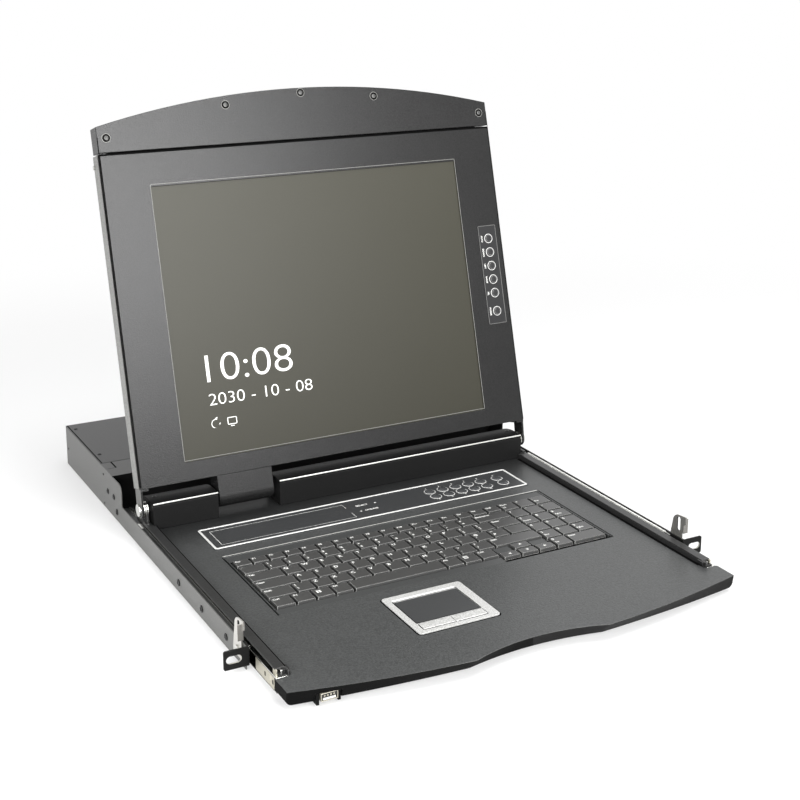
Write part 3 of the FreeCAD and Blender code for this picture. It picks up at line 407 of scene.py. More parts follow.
# Black zinc screws: dark, smooth metal that shows a glint in its recess.
black_zinc = grained("black_zinc_plated_screw_steel", "#2c2c2c", "#222222", 1.2, 0.1, 0.3, metallic=1.0)
screws("rail_screws", on_plates([(42.7, -3.2), (99.7, -3.2), (157.7, -3.2), (338.7, -3.2)]), 3.3, 0.9,
       black_zinc, "chassis")
screws("box_screws", on_plates([(347.7, 9.7), (367.5, 9.0)]), 3.0, 0.8, black_zinc, "chassis")
screws("box_small_screws", on_plates([(381, 22.6), (381, -8.9), (512, 7)]), 1.3, 0.4, black_zinc, "chassis")

# The lid's gaps: a long line along each side, and in front of it a slot with a short line across.
lid_marks = [block(side * middle - half, front, side * middle + half, back)
             for middle, half, front, back in ((220.4, 0.6, 389.6, 519.0), (211.3, 0.8, 370.6, 388.8),
                                               (215.8, 4.4, 370.6, 371.2))
             for side in (-1, 1)]
printed("lid_gaps", lid_marks, at_level(lid_top + LIFT), black_paint, "chassis")
lid_seats = [(side * 215, back, lid_top, 0, 0, 1) for side in (-1, 1) for back in (416.0, 504)]
screws("lid_screws", lid_seats, 2.1, 0.5, black_zinc, "chassis")

# Rack ears
# Black-coated angle steel, bolted to the rack's front rails through one horizontal slot each. The coat has hardly
# any sheen; the slots' cut walls are bare, a bright and slightly rough metal.
ear_coat = grained("black_coated_ear_steel", "#101010", "#161615", 0.8, 0.35, 0.5, edge="#4b4a46", gloss=0.12)
bare_steel = grained("bare_cut_steel", "#c9c8c0", "#b4b2a8", 1.5, 0.12, 0.34, metallic=1.0)
ear_mount = next(mount for mount in frame["record"]["mounts"] if mount["name"] == "rack_ears")["dims"]
slot_middle, slot_half = ear_mount["spacing_x_mm"] / 2, ear_mount["slot_length_mm"] / 2
for node in ("rack_ear_left", "rack_ear_right"):
    ear = soften(node, ear_coat, 0.25)
    recoat(ear, bare_steel, lambda centres, normals: (abs(abs(centres[:, 0]) - slot_middle) < slot_half + 0.1)
           & (abs(centres[:, 2]) < ear_mount["hole_r_mm"] + 0.1) & (abs(normals[:, 1]) < 0.5))
    round_corners(ear, 1.8, 1, lambda middle: abs(middle[0]) > 240 and middle[1] < 1)

# Telescoping slides and drawer pan
# Cold-rolled steel channels, bright zinc plated, nested in each other; the pan is coated steel folded up at the
# sides into flanges. A sprung catch of steel and black plastic closes each flange's front end. The slide's upper
# lip is painted near white on the right, a painted highlight, and black on the left, painted shade.
# Bright zinc mirrors the studio in a pale, faintly mottled metal. The pan's powder coat is near black, with pale
# rubbed folds.
zinc = grained("bright_zinc_plated_steel", "#dcdcd8", "#c8c8c4", 1.8, 0.15, 0.18, metallic=1.0)
for node in ("slide_outers", "slide_middles", "slide_inners"):
    soften(node, zinc, 0.2)
tray_coat = grained("powder_coated_tray_steel", "#272727", "#2d2d2d", 1.2, 0.5, 0.36, edge="#9a9a98",
                    spread=0.2, gloss=0.3, edge_width=0.7)
soften("drawer_pan", tray_coat, 0.3)


def on_wall(x, y):
    """Puts flat points, to the right, up and out, on an upright wall that faces along x, y."""
    return lambda points: np.stack([points[..., 2] * x - points[..., 0] * y,
                                    points[..., 0] * x + points[..., 2] * y, points[..., 1]], axis=-1)


def slab(name, outline, low, high, edge, place, material, body):
    """A flat plate with a rounded edge, from low to high over a convex outline.

    Its rows run from the middle over the top, down the edge as a quarter circle and to the middle underneath."""
    outline = np.array(outline, dtype=float)
    middle = outline.mean(axis=0)
    reach = np.linalg.norm(outline - middle, axis=1, keepdims=True)
    turn = np.linspace(np.pi / 2, 0, 4)
    inset = np.concatenate([[0], edge * (1 - np.cos(turn)), [0, 0]])
    level = np.concatenate([[high], high - edge * (1 - np.sin(turn)), [low, low]])
    share = 1 - inset[:, None, None] / reach
    share[[0, -1]] = 0
    flat = middle + (outline - middle) * share
    solid = np.dstack([flat, level[:, None] + 0 * flat[..., 0]])
    return new_piece(name, woven(name, place(solid), closed=True), material, body)


# Moulded plastic is a dull black, and satin zinc a warm pale metal that blurs what it mirrors. The rolled lip's
# near-white paint is a painted highlight that reads as a white line.
black_part = grained("black_moulded_catch", "#141414", "#191919", 0.6, 0.2, 0.4)
satin_zinc = grained("satin_zinc_plated_steel", "#bdb9ab", "#a9a598", 1.6, 0.2, 0.44, metallic=0.75)
lip_painted_highlight = grained("rolled_steel_lip_painted_highlight", "#e9e9e6", "#f3f3f0", 1.8, 0.1, 0.4)
flange_top = box_of("drawer_pan")[1][2]
ahead = on_wall(0, -1)
for side, word in SIDES:
    facing = on_wall(side, 0)
    slab(f"slide_stop_{word}", side_block(side, 215.8, 220.6, 281.0, 321.5), 5.6, 6.6, 0.2, as_built, black_part,
         "chassis")
    # Painted light: the right lip takes the near-white highlight paint, and the left lip black plastic as painted
    # shade under the rail's wall.
    lip_near, lip_painted_light = (219.1, lip_painted_highlight) if side > 0 else (217.1, black_part)
    slab(f"slide_lip_{word}", side_block(side, lip_near, 220.7, 18.0, 266.0), 6.0, 6.7, 0.2, as_built, lip_painted_light,
         "chassis")
    # The inner member's end: a satin face with a pressed boss and two holes.
    slab(f"slide_face_{word}", side_block(side, -46, -9, -8.4, 2.0), 216.4, 217.15, 0.3, facing, satin_zinc,
         "drawer")
    boss = rounded(side * -36.4 - 3.8, -6.2, side * -36.4 + 3.8, 0.2, 3.1)
    slab(f"slide_boss_{word}", boss, 216.6, 217.5, 0.5, facing, satin_zinc, "drawer")
    holes = [rounded(side * middle - 1.1, -5.2, side * middle + 1.1, -1.0, 1.0) for middle in (-28.4, -43.9)]
    printed(f"slide_holes_{word}", holes, at_level(217.2, facing), black_paint, "drawer")
    for part, near, far, low, high, out, material, slot in (
            ("plate", 215.4, 214.1, -1.0, 7.4, 45.6, satin_zinc, "screw_steel"),
            ("spring", 211.6, 209.9, 2.6, 6.6, 46.4, zinc, "screw_steel"),
            ("block", 209.6, 204.4, 1.2, 7.6, 47.4, black_part, "key_plastic"),
            ("foot", 214.0, 204.4, 3.6, 4.6, 49.6, black_part, "key_plastic")):
        slab(f"catch_{part}_{word}", side_block(side, near, far, low, high), 40, out, 0.3, ahead, material,
             "drawer")
    # Painted shade: a black line along each flange's inner top edge, where it drops to the deck.
    printed(f"flange_edge_shade_{word}", [side_block(side, 206.9, 206.0, -43.5, 262.0)], at_level(flange_top + LIFT),
            black_paint, "drawer")

# Latch levers
# Pressed steel plates outside the rails, each with a long hole and a turned finger edge, on a headed pin.
# Nickel plate: soft silver with blurred reflections; the turned edge's forward faces are duller and painted
# darker, as painted shade.
lever_plate = grained("satin_nickel_plated_steel", "#d4d2ce", "#c2c0bb", 1.5, 0.12, 0.34, metallic=0.9)
lever_edge_shade = grained("nickel_plate_painted_darker_edge", "#8c8a86", "#7c7a76", 1.5, 0.12, 0.4, metallic=0.8)
for node in ("latch_lever_left", "latch_lever_right"):
    lever = soften(node, lever_plate, 0.2)
    # Painted shade: the forward faces are darker.
    recoat(lever, lever_edge_shade, lambda centres, normals: normals[:, 1] < -0.6)
    # Painted shade: the long hole's walls are near black.
    recoat(lever, painted_shade_coat, lambda centres, normals: (
        abs(normals[:, 0]) < 0.3) & (abs(centres[:, 1] - 10) < 2.6) & (abs(centres[:, 2] - 20) < 7.4))
dress(zinc, "lever_pins")

# Deck and palm rest
# Folded steel deck with a formed front lip, powder coated charcoal. The grain breaks the lamps' reflections into
# a soft sheen, and the edges are drawn paler, a painted highlight. The lip, turned away from the light, is
# painted matt and nearly black as painted shade, darker still on the left, with a thin painted highlight on its
# edges.
deck_coat = grained("powder_coated_deck_steel", "#404141", "#474848", 1.3, 0.6, 0.34, edge="#8a8a88",
                    spread=0.3, gloss=0.22, edge_width=0.8)


def darken_behind(material, start, end, share):
    """Darken a coat from one distance back, in metres, to another, down to a share of its colour."""
    tree, surface = material.node_tree, surface_of(material)
    place = add(tree, "SeparateXYZ", {0: add(tree, "TexCoord").outputs["Object"]})
    shade = add(tree, "MapRange", {"Value": place.outputs["Y"]}, interpolation_type="SMOOTHSTEP", from_min=start,
                from_max=end, to_min=1.0, to_max=share)
    shaded = add(tree, "Mix", {6: surface.inputs["Base Color"].links[0].from_socket, 7: shade.outputs[0]},
                 data_type="RGBA", blend_type="MULTIPLY")
    shaded.inputs[0].default_value = 1.0
    tree.links.new(shaded.outputs[2], surface.inputs["Base Color"])


# Behind the status panel the deck falls into the display's shade, so its coat is drawn darker there.
darken_behind(deck_coat, 0.19, 0.268, 0.25)
lip_shade_coat = grained("lip_coat_with_painted_shade", "#121212", "#171717", 0.9, 0.4, 0.55, edge="#9c9c9a", edge_width=0.7,
                   gloss=0.08)
deeper_lip_shade_coat = grained("lip_coat_with_deeper_painted_shade", "#0b0b0b", "#0f0f0f", 0.9, 0.4, 0.6, edge="#6c6c6a", edge_width=0.7,
                        gloss=0.03)
deck = soften("keyboard_deck", deck_coat, 0.6, segments=3)
# Painted shade: the lip's front faces take the near-black coat, and on the left half its front and left faces a
# darker one.
recoat(deck, lip_shade_coat, lambda centres, normals: (normals[:, 1] < -0.5) & (centres[:, 1] < -60))
recoat(deck, deeper_lip_shade_coat, lambda centres, normals: (centres[:, 0] < 0) & (centres[:, 1] < -40) & (
    (normals[:, 1] < -0.5) | (normals[:, 0] < -0.7)))

# Keyboard
# Low-profile keyboard: satin black ABS caps with pad-printed white legends over a black moulded tray with satin
# rims. A dark gap runs around it, and behind it the deck's cut edge is bare.
# Moulded plastic: the tray is dull, and its rim and the caps have a satin sheen; the caps' edges are drawn near
# white, a painted highlight.
tray_plastic = grained("black_moulded_tray", "#121212", "#171717", 0.5, 0.3, 0.45, gloss=0.2)
tray_rim = grained("satin_moulded_tray_rim", "#3a3b3b", "#404141", 0.8, 0.3, 0.4, gloss=0.3)
recoat(soften("keyboard_base", tray_plastic, 0.15), tray_rim, lambda centres, normals: (
    normals[:, 2] > 0.8) & (centres[:, 2] > 2.5))
tray_rims = [block(-172.2, 45.4, 53.2, 55.5), block(-172.2, 56.9, -171.1, 174.0),
             block(171.1, 51.0, 172.2, 174.0)]
for number, rim in enumerate(tray_rims, start=1):
    slab(f"tray_rim_{number}", rim, 0.5, 3.25, 0.3, as_built, tray_rim, "drawer")
# Painted highlight: the caps' edge line is near white.
cap_plastic = grained("satin_black_key_plastic", "#3b3b3b", "#40403f", 0.5, 0.3, 0.36, edge="#e4e4e0", edge_width=0.8,
                      edge_strength=1.0)
for number in range(1, 7):
    soften(f"key_row_{number}", cap_plastic, 0.25)
deck_mark = box_of("keyboard_deck")[1][2] + 0.04
on_deck = at_level(deck_mark)
# Painted shade: a black strip on the deck beside the right flange.
printed("deck_shade_by_right_flange", [block(202.6, -43.0, 205.9, 262.0)], on_deck, black_paint, "drawer")
# The four sides of the gap stay apart, because a filled curve's outlines must not touch.
opening = [block(-173.9, 45.3, -173.0, 175.3), block(173.0, 45.8, 173.9, 175.3),
           block(-172.9, 175.4, 172.9, 176.2), block(53.6, 44.9, 172.9, 45.7)]
printed("keyboard_gap", opening, on_deck, black_paint, "drawer")
# Sheared steel without its coat: a thin, nearly white line. Along the hinge covers the same paint is a bare edge
# drawn brighter, a painted highlight.
bare_edge_and_highlight = grained("bare_sheared_edge_and_painted_highlight", "#dcdcd8", "#d0d0cc", 1.5, 0.1, 0.4, metallic=0.3)
printed("keyboard_edge", [block(-172.6, 176.3, 172.6, 177.5)], at_level(deck_mark + 0.01), bare_edge_and_highlight, "drawer")

# White pad-printing ink: dull and slightly uneven, a little thinner in places.
white_ink = grained("white_pad_printing_ink", "#f4f4f1", "#e8e8e4", 0.7, 0.1, 0.55)
KEY_PITCH, ROW_PITCH = 18.402, 18.1
KEYS_LEFT, KEYS_FRONT = -169.85, 58.327
PAD_FRONT, PAD_PITCH = 51.63, 18.64  # the number block has its own rows
CAP_DEPTHS = [0.93, 0.93, 0.93, 0.93, 0.85, 0.68]  # of a row's pitch, from the front row to the back
PRINT_INSET = 2.3


def key_place(start):
    """How far across a key's cap starts, from its place along the row in key pitches."""
    return start * KEY_PITCH + KEYS_LEFT


def key_run(row, start, names, width=1.0):
    """Places for a run of equal keys' legends: (name, left edge, rear edge of the cap's top)."""
    rear = KEYS_FRONT + ROW_PITCH * (row + CAP_DEPTHS[row]) - 0.7
    return [(name, key_place(start + number * width) + PRINT_INSET, rear) for number, name in enumerate(names)]


# One letter, or the shifted and the plain sign.
letter_keys = (key_run(1, 1.55, "|\\ Z X C V B N M <, >. ?/".split())
               + key_run(2, 2.1, "A S D F G H J K L :; @' ~#".split())
               + key_run(3, 1.83, "Q W E R T Y U I O P {[ }]".split())
               + key_run(4, 1.34, "!1 \"2 ^3 $4 %5 +6 &7 *8 (9 )0 _- +=".split()))
word_keys = []
for row, start, name in ((0, 0, "Ctrl"), (0, 1.06, "Fn"), (0, 3.1, "Alt"), (0, 9.18, "Alt"), (0, 11.19, "Ctrl"),
                         (1, 0, "Shift"), (1, 12.55, "Shift"), (2, 0, "Caps"), (3, 0, "Tab"),
                         (3, 13.83, "Enter"), (4, 0, "`"), (4, 13.34, "Backspace")):
    word_keys += key_run(row, start, [name])
top_names = ["Esc", *[f"F{number}" for number in range(1, 13)], "Prt", "Scr", "Ins", "Del"]
word_keys += key_run(5, 0, top_names, 0.9065)
PAD_NAMES = ["0:Ins Enter", "1:End 2 3:PgDn", "4 5 6", "7:Home 8 9:PgUp", "/ * -", "Num:Lk + .:Del"]
legends = []
for name, left, rear in letter_keys:
    if len(name) == 1:
        legends.append((name, left, rear - 5.0, 3.8, 0, 0))
    else:
        legends.append((name[0], left, rear - 4.2, 3.1, 0, 0))
        legends.append((name[1], left + 0.3, rear - 10.4, 3.1, 0, 0))
for name, left, rear in word_keys:
    legends.append((name, left, rear - 3.7, 2.6, 0, 0))
for line, names in enumerate(PAD_NAMES):
    rear = PAD_FRONT + PAD_PITCH * line + 17.1 - 0.7
    for column, name in enumerate(names.split()):
        first, _, second = name.partition(":")
        left = key_place(15.41 + 1.01 * column) + PRINT_INSET
        legends.append((first, left, rear - 4.4, 3.3 if len(first) == 1 else 2.5, 0, 0))
        if second:
            legends.append((second, left, rear - 10.4, 2.3, 0, 0))
# The arrows, and plain marks on the menu key and the key beside Fn, as small filled shapes.
arrow = np.array([(-1.6, -1.4), (1.6, -1.4), (0, 1.6)])
arrow_left = key_place(12.2) + 9.7
key_marks = []
for cosine, sine, along, up in ((1, 0, 1.06, 71.2), (0, 1, 0, 57.5), (-1, 0, 1.06, 57.5), (0, -1, 2.12, 57.5)):
    turned = arrow @ np.array([(cosine, sine), (-sine, cosine)])
    key_marks.append(turned + (arrow_left + along * KEY_PITCH, up))
menu_left = key_place(10.18) + 4.0
for inset, low, high, radius in ((0, 66.6, 71.6, 0.5), (0.7, 69.3, 70.6, 0.2), (0.7, 67.4, 68.7, 0.2)):
    key_marks.append(rounded(menu_left + inset, low, menu_left + 4.4 - inset, high, radius, 3))
home_left = key_place(2.09) + 4.0
key_marks += [rounded(home_left + across, 66.8 + up, home_left + across + 1.9, 66.8 + up + 1.9, 0.2, 3)
              for across in (0, 2.3) for up in (0, 2.3)]
words_of_row = {row: [] for row in range(6)}
for legend in legends:
    words_of_row[int(np.clip((legend[2] - 51.6) // 18.4, 0, 5))].append(legend)
cap_top = box_of("key_row_1")[1][2]
for row, words in words_of_row.items():
    printed(f"key_legends_{row + 1}", key_marks if row == 0 else (), at_level(cap_top + LIFT), white_ink,
            BODY_OF[f"key_row_{row + 1}"], words)

# Touchpad
# Silver-painted ABS frame with a textured grey pad and two buttons, set in the palm rest. The paint is pale and
# speckled, with its edges drawn white as a painted highlight, and the pad's film is dark, dull and fine-grained.
silver = grained("silver_painted_plastic", "#d2d2d0", "#dadad8", 0.8, 0.15, 0.34, metallic=0.1)
pad_silver = grained("silver_painted_pad_frame", "#b8b8b6", "#c4c4c2", 1.1, 0.6, 0.38, metallic=0.1,
                     edge="#f6f6f4", spread=0.35, edge_width=0.9)
frame_low, frame_high = box_of("touchpad_frame")
round_corners(soften("touchpad_frame", pad_silver, 0.5, segments=3), 3.2, 2, lambda middle: all(
    min(middle[axis] - frame_low[axis], frame_high[axis] - middle[axis]) < 0.2 for axis in (0, 1)))
for side in ("left", "right"):
    soften(f"touchpad_button_{side}", pad_silver, 0.5)
# Painted highlight: a near-white strip along the rear of the pad's opening, on the frame's inner bevel.
pad_bevel_highlight = grained("near_white_bevel_highlight_and_ring_paint", "#ececea", "#f2f2f0", 1.0, 0.1, 0.34)
slab("pad_bevel_highlight", block(-77.9, 19.9, -16.3, 22.9), 4.0, 4.5, 0.3, as_built, pad_bevel_highlight, "drawer")
frame_gap = ring(rounded(-85.6, -42.0, -6.0, 30.4, 3.8), 1.4)
printed("pad_frame_gap", frame_gap, on_deck, black_paint, "drawer")
button_gaps = [*ring(rounded(-78.2, -36.1, -47.3, -25.8, 1.0), 1.0),
               *ring(rounded(-46.1, -36.1, -16.2, -25.8, 1.0), 1.0),
               *ring(rounded(-78.7, -23.9, -15.7, 19.7, 0.8), 0.8)]
printed("pad_button_gaps", button_gaps, at_level(frame_high[2] + LIFT), black_paint, "drawer")
pad_film = grained("textured_pad_film", "#303132", "#373839", 0.8, 0.5, 0.42)
soften("touchpad_pad", pad_film, 0.15)


def bead(name, outline, width, height, level, place, material, body):
    """A half-round ridge along a closed loop: half an ellipse of this width and height across each point."""
    points = np.array(outline, dtype=float)
    outside, inside = ring(points, 2.0)
    out = (outside - inside) / 2
    angle = np.linspace(0, np.pi, 7)
    flat = points[:, None] + out[:, None] * np.cos(angle)[None, :, None] * width / 2
    solid = np.dstack([flat, level + np.sin(angle) * height + 0 * flat[..., 0]])
    solid = np.concatenate([solid, solid[:1]])
    return new_piece(name, woven(name, place(solid)), material, body)


# Status panel
# Printed polycarbonate overlay, flat grey with a soft sheen, in a silver-painted rim, with rows of round push
# buttons. Each satin dome shows one small, soft highlight.
overlay = grained("printed_overlay_film", "#2f3031", "#353637", 0.8, 0.35, 0.4)
dress(overlay, "status_panel")
panel_top = box_of("status_panel")[1][2]
RIM_SINK = 0.02  # how far a rim starts inside what it lies on
panel_rim = rounded(-171.7, 194.9, 171.7, 241.5, 1.5)
bead("panel_rim", panel_rim, 2.4, 0.5, panel_top - RIM_SINK, as_built, silver, "drawer")
window = [(-163.7, 200.7), (-22.5, 200.7), (-22.5, 211.7), (-22.9, 211.7), (-22.9, 201.1), (-163.3, 201.1),
          (-163.3, 233.8), (-22.9, 233.8), (-22.9, 224.7), (-22.5, 224.7), (-22.5, 234.2), (-163.7, 234.2)]
panel_words = [("SELECT", -12, 223.6, 2.8, 0, 0), ("ONLINE", -8, 210.5, 2.8, 0, 0)]
panel_marks = [window, [(9, 223.6), (9, 225.9), (11.6, 224.75)], [(-14, 211.65), (-11.4, 210.5), (-11.4, 212.8)]]
BUTTON_PITCH, LINE_PITCH = 15.2, 13.3
columns = [*(72.3 + BUTTON_PITCH * np.arange(5)), 152.86]
for number, across in enumerate(columns):
    panel_words.append((str(2 * number + 1) if number < 5 else "+", across, 231.2, 2.3, 0.5, 0))
    panel_words.append((str(2 * number + 2) if number < 5 else "-", across, 201.2, 2.3, 0.5, 0))
printed("panel_printing", panel_marks, at_level(panel_top + LIFT), white_ink, "drawer",
        panel_words)

button_plastic = grained("satin_button_plastic", "#37383a", "#3e3f40", 0.5, 0.2, 0.28)


def dome(node, spot, radius, low, high, crown, place, material):
    """A round push button: a wall from low to high, then a crown that falls with the square of the radius."""
    share = np.array([1.0, 1.0, 0.985, 0.94, 0.8, 0.6, 0.4, 0.2, 0.0])[:, None]
    level = np.array([low, high - 0.3, high - 0.08, high, 0, 0, 0, 0, 0])[:, None]
    level[4:] = high + crown * (0.94 ** 2 - share[4:] ** 2)
    angle = np.linspace(2 * np.pi, 0, 40, endpoint=False)[None]
    shape = np.stack([spot[0] + share * radius * np.cos(angle), spot[1] + share * radius * np.sin(angle),
                      level + 0 * angle], axis=-1)
    mesh = woven(f"{node}_piece", place(shape), closed=True)
    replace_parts(new_piece(f"{node}_piece", mesh, material, BODY_OF[node]), node)


for number in range(1, 13):
    line, column = divmod(number - 1, 6)
    spot = (columns[column], 210.27 + LINE_PITCH * line)
    node = f"status_button_{number}"
    dome(node, spot, 5.0, 1.6, 4.6, 0.9, as_built, button_plastic)
    bead(f"status_ring_{number}", circle(*spot, 5.75), 0.9, 0.25, panel_top - RIM_SINK, as_built, silver,
         "drawer")

# USB socket
# Plated steel receptacle under the palm rest's front edge, with a plain white plastic tongue and four plated
# contacts.
usb = soften("usb_socket", satin_zinc, 0.2)
usb_low, usb_high = box_of("usb_socket")
usb_middle = (usb_low[0] + usb_high[0]) / 2
# Painted shade: the socket's faces beside its opening are near black.
recoat(usb, painted_shade_coat, lambda centres, normals: abs(centres[:, 0] - usb_middle) > 7.4)
white_plastic = grained("white_connector_plastic", "#e4e4e0", "#dadad6", 0.7, 0.1, 0.4)
recoat(usb, white_plastic, lambda centres, normals: (abs(centres[:, 0] - usb_middle) < 5.7)
       & (centres[:, 2] > -4.6) & (centres[:, 2] < -2.6) & (centres[:, 1] > -79.5))
# Painted shade: a black block fills the socket's mouth behind the tongue.
slab("usb_mouth_shade", block(-191.9, -7.8, -179.0, -2.4), 60, 79.2, 0.1, ahead, black_part, "drawer")
slab("usb_tongue", block(-190.8, -7.5, -180.1, -6.0), 60, 79.9, 0.2, ahead, white_plastic, "drawer")
for number in range(4):
    left = -190.1 + 2.7 * number
    slab(f"usb_contact_{number + 1}", block(left, -4.9, left + 1.3, -3.6), 60, 79.6, 0.1, ahead, satin_zinc,
         "drawer")

# Hinge covers and neck
# Coated steel cowls over the display's cable and hinge bar, with a bare sheared edge along the front, drawn as a
# bright painted highlight. The coat is painted nearly black on top, as painted shade and a painted reflection of
# the dark display, and a little lighter on the front faces, also painted shade.
cover_shade_coat = grained("cover_coat_with_painted_shade", "#121212", "#171717", 1.2, 0.5, 0.42, spread=0.2, gloss=0.05)
cowl_front_shade = grained("cowl_front_coat_with_painted_shade", "#151515", "#1a1a1a", 1.2, 0.4, 0.5, gloss=0.12)
for node in ("hinge_cover_left", "hinge_cover_right"):
    recoat(soften(node, cover_shade_coat, 0.5, segments=3), cowl_front_shade, lambda centres, normals: normals[:, 1] < -0.8)


def edge_bars(name, ends, back, up, wide, high, material, body):
    """Straight bars along X, each between its two ends: an ellipse with half widths wide and high.

    Over the last half width at each end the ellipse shrinks by sqrt(1 - t^2), which rounds the ends."""
    ends = np.array(ends, dtype=float)
    short = np.array([1.0, 0.95, 0.75, 0.4, 0.0])
    share = np.sqrt(1 - np.append(short, short[::-1]) ** 2)[:, None]
    across = np.concatenate([ends[:, :1] + wide * (1 - short), ends[:, 1:] - wide * (1 - short[::-1])], axis=1)
    angle = np.linspace(0, 2 * np.pi, 12, endpoint=False)
    points = np.stack(np.broadcast_arrays(across[..., None], back - wide * share * np.cos(angle),
                                          up + high * share * np.sin(angle)), axis=-1)
    return new_piece(name, woven(name, points, closed=True), material, body)


# A bare sheared edge along each cover's front, drawn as a bright painted highlight.
edge_bars("cover_edge_highlights", [(-208.3, -142.2), (-76.8, 208.3)], 264.1, 29.3, 0.5, 0.75, bare_edge_and_highlight, "drawer")
screws("cover_screws", [(across, 282.7, 29.6, 0, 0.1, 1) for across in (-201, 202)], 2.2, 0.6, black_zinc,
       "drawer")

# Friction hinges
# Steel lugs, arms and headed pins at both sides, with three bright zinc spring discs pressed between them.
joints = {joint["name"]: joint for joint in frame["record"]["behaviour"]["joints"]}
HINGE_BACK, HINGE_UP = np.array(joints["display_tilt"]["pos_m"][1:]) / MM
soften("hinge_brackets", tray_coat, 0.2)
for side, word in SIDES:
    for number, out in enumerate((210.7, 212.4, 214.1), start=1):
        slab(f"spring_disc_{number}_{word}", circle(side * HINGE_BACK, HINGE_UP, 7.4, 48), out, out + 0.8, 0.3,
             on_wall(side, 0), zinc, "drawer")
dress(zinc, "hinge_pins", "lcd_studs")

# Display housing
# Folded steel back and front, powder coated, with a moulded arch on top held by five cross-head screws, each
# ringed by painted shade and a thin painted highlight. A brushed strip runs up each side. The display's buttons
# press in at right angles to its face, so their axis gives its tilt.
press = joints["osd_button_1_press"]["axis"]
TILT = math.atan2(-press[2], press[1])
BEZEL_FACE, STRIP_FACE, SCREEN_FACE = 11.4, 11.9, 9.9  # out from the hinge axis


def on_display(points):
    """Display coordinates, across, up its face and out of it from the hinge axis, as places in the model."""
    across, up, out = points[..., 0], points[..., 1], points[..., 2]
    return np.stack([across, HINGE_BACK + math.sin(TILT) * up - math.cos(TILT) * out,
                     HINGE_UP + math.cos(TILT) * up + math.sin(TILT) * out], axis=-1)


def on_display_side(across):
    """Puts flat points, up the display and out of its face, on one of its sides."""
    return lambda flat: on_display(np.column_stack([np.full(len(flat), across), flat]))


# The display's powder coat is smoother and spreads the lamps into wide, soft gleams. Its brushed sides are
# mottled.
display_coat = grained("powder_coated_display_steel", "#191919", "#1f1f1f", 1.2, 0.4, 0.24, edge="#5a5a58",
                       spread=0.3, gloss=0.27)
side_strip = grained("brushed_steel_side_strip", "#6c6c6a", "#7e7e7b", 1.6, 0.3, 0.34, spread=0.4)
# Painted light: the back shell and the arms' outer parts take the rails' lighter coat.
recoat(soften("lcd_back_shell", lit_rail_coat, 0.5), side_strip, lambda centres, normals: abs(normals[:, 0]) > 0.8)
recoat(soften("lcd_hinge_arms", lit_rail_coat, 0.2), display_coat,
       lambda centres, normals: abs(centres[:, 0]) < 216.8)
soften("lcd_front_bezel", display_coat, 0.4)
soften("lcd_neck", display_coat, 0.5, segments=3)
arch_plastic = grained("coated_arch_moulding", "#1b1b1b", "#212121", 1.2, 0.4, 0.24, edge="#5a5a58", spread=0.3,
                       gloss=0.28)
soften("arch_trim", arch_plastic, 0.8, segments=3)
outward = (0, -math.cos(TILT), math.sin(TILT))
arch_seats = np.array([(across, up, BEZEL_FACE) for across, up in ((-208, 359), (-83, 384), (0, 392), (83, 384),
                                                                   (208, 359))])
nickel = grained("dull_nickel_screw_steel", "#5a5a58", "#505050", 1.2, 0.1, 0.34, metallic=1.0)
screws("arch_screws", [(*seat, *outward) for seat in on_display(arch_seats)], 2.2, 0.6, nickel, "display")
bezel_mark = at_level(BEZEL_FACE + 0.04, on_display)
# Painted highlight: a thin pale ring around each screw.
arch_rim_highlights = [loop for across, up, _ in arch_seats for loop in ring(circle(across, up, 4.2), 0.4)]
rubbing_and_highlight = grained("pale_line_of_rubbing_and_painted_highlight", "#7d7d79", "#8a8a86", 1.2, 0.1, 0.45)
printed("arch_screw_rim_highlights", arch_rim_highlights, bezel_mark, rubbing_and_highlight, "display")
# Painted shade: a dark ring around each screw, in its seat, and a band along the groove between the arch and the
# bezel, where the bezel's top edge turns away into shadow.
arch_shade_marks = [loop for across, up, _ in arch_seats for loop in ring(circle(across, up, 3.0), 1.7)]
arch_shade_marks.append(block(-216.9, 341.8, 216.9, 343.5))
printed("arch_screw_and_groove_shade", arch_shade_marks, bezel_mark, black_paint, "display")

# The bezel sits in the back shell with a dark gap along each side, which also shows on the shell's sides.
side_gaps = [side_block(side, near, 217.2, low, high)
             for near, low, high in ((216.0, 22.0, 343.4), (216.4, 343.8, 360.0)) for side in (-1, 1)]
printed("bezel_side_gaps", side_gaps, bezel_mark, black_paint, "display")
display_side = box_of("lcd_back_shell")[1][0]
for side, word in SIDES:
    printed(f"bezel_wall_gap_{word}", [block(22.0, 8.0, 343.4, 11.3)],
            on_display_side(side * (display_side + 0.04)), black_paint, "display")

# Display buttons
# Printed overlay strip on the bezel, dark with a cut grey edge, and six dull round buttons in silver rings.
strip_film = grained("printed_strip_film", "#1b1b1c", "#212122", 0.8, 0.35, 0.34, gloss=0.3)
dress(strip_film, "osd_strip")
dim_silver = grained("dull_silver_painted_ring", "#a2a2a0", "#adadab", 0.8, 0.1, 0.4)
dark_button = grained("matt_button_plastic", "#1f1f20", "#262627", 0.5, 0.2, 0.36, gloss=0.3)
STRIP_LOW, STRIP_LENGTH = 128.8, 107.4
strip_spots = [(200.51, STRIP_LOW + share * STRIP_LENGTH)
               for share in (0.866, 0.727, 0.589, 0.451, 0.313, 0.128)]
for number, spot in enumerate(strip_spots, start=1):
    node = f"osd_button_{number}"
    dome(node, spot, 4.25, 9.0, 12.5, 0.3, on_display, dark_button)
    # The rings take the same near-white paint as the pad's bevel highlight.
    bead(f"osd_ring_{number}", circle(*spot, 4.75), 0.6, 0.45, STRIP_FACE - RIM_SINK, on_display, pad_bevel_highlight,
         "display")
    bead(f"osd_line_{number}", circle(*spot, 3.3), 0.3, 0.1, 12.5, on_display, dim_silver, BODY_OF[node])
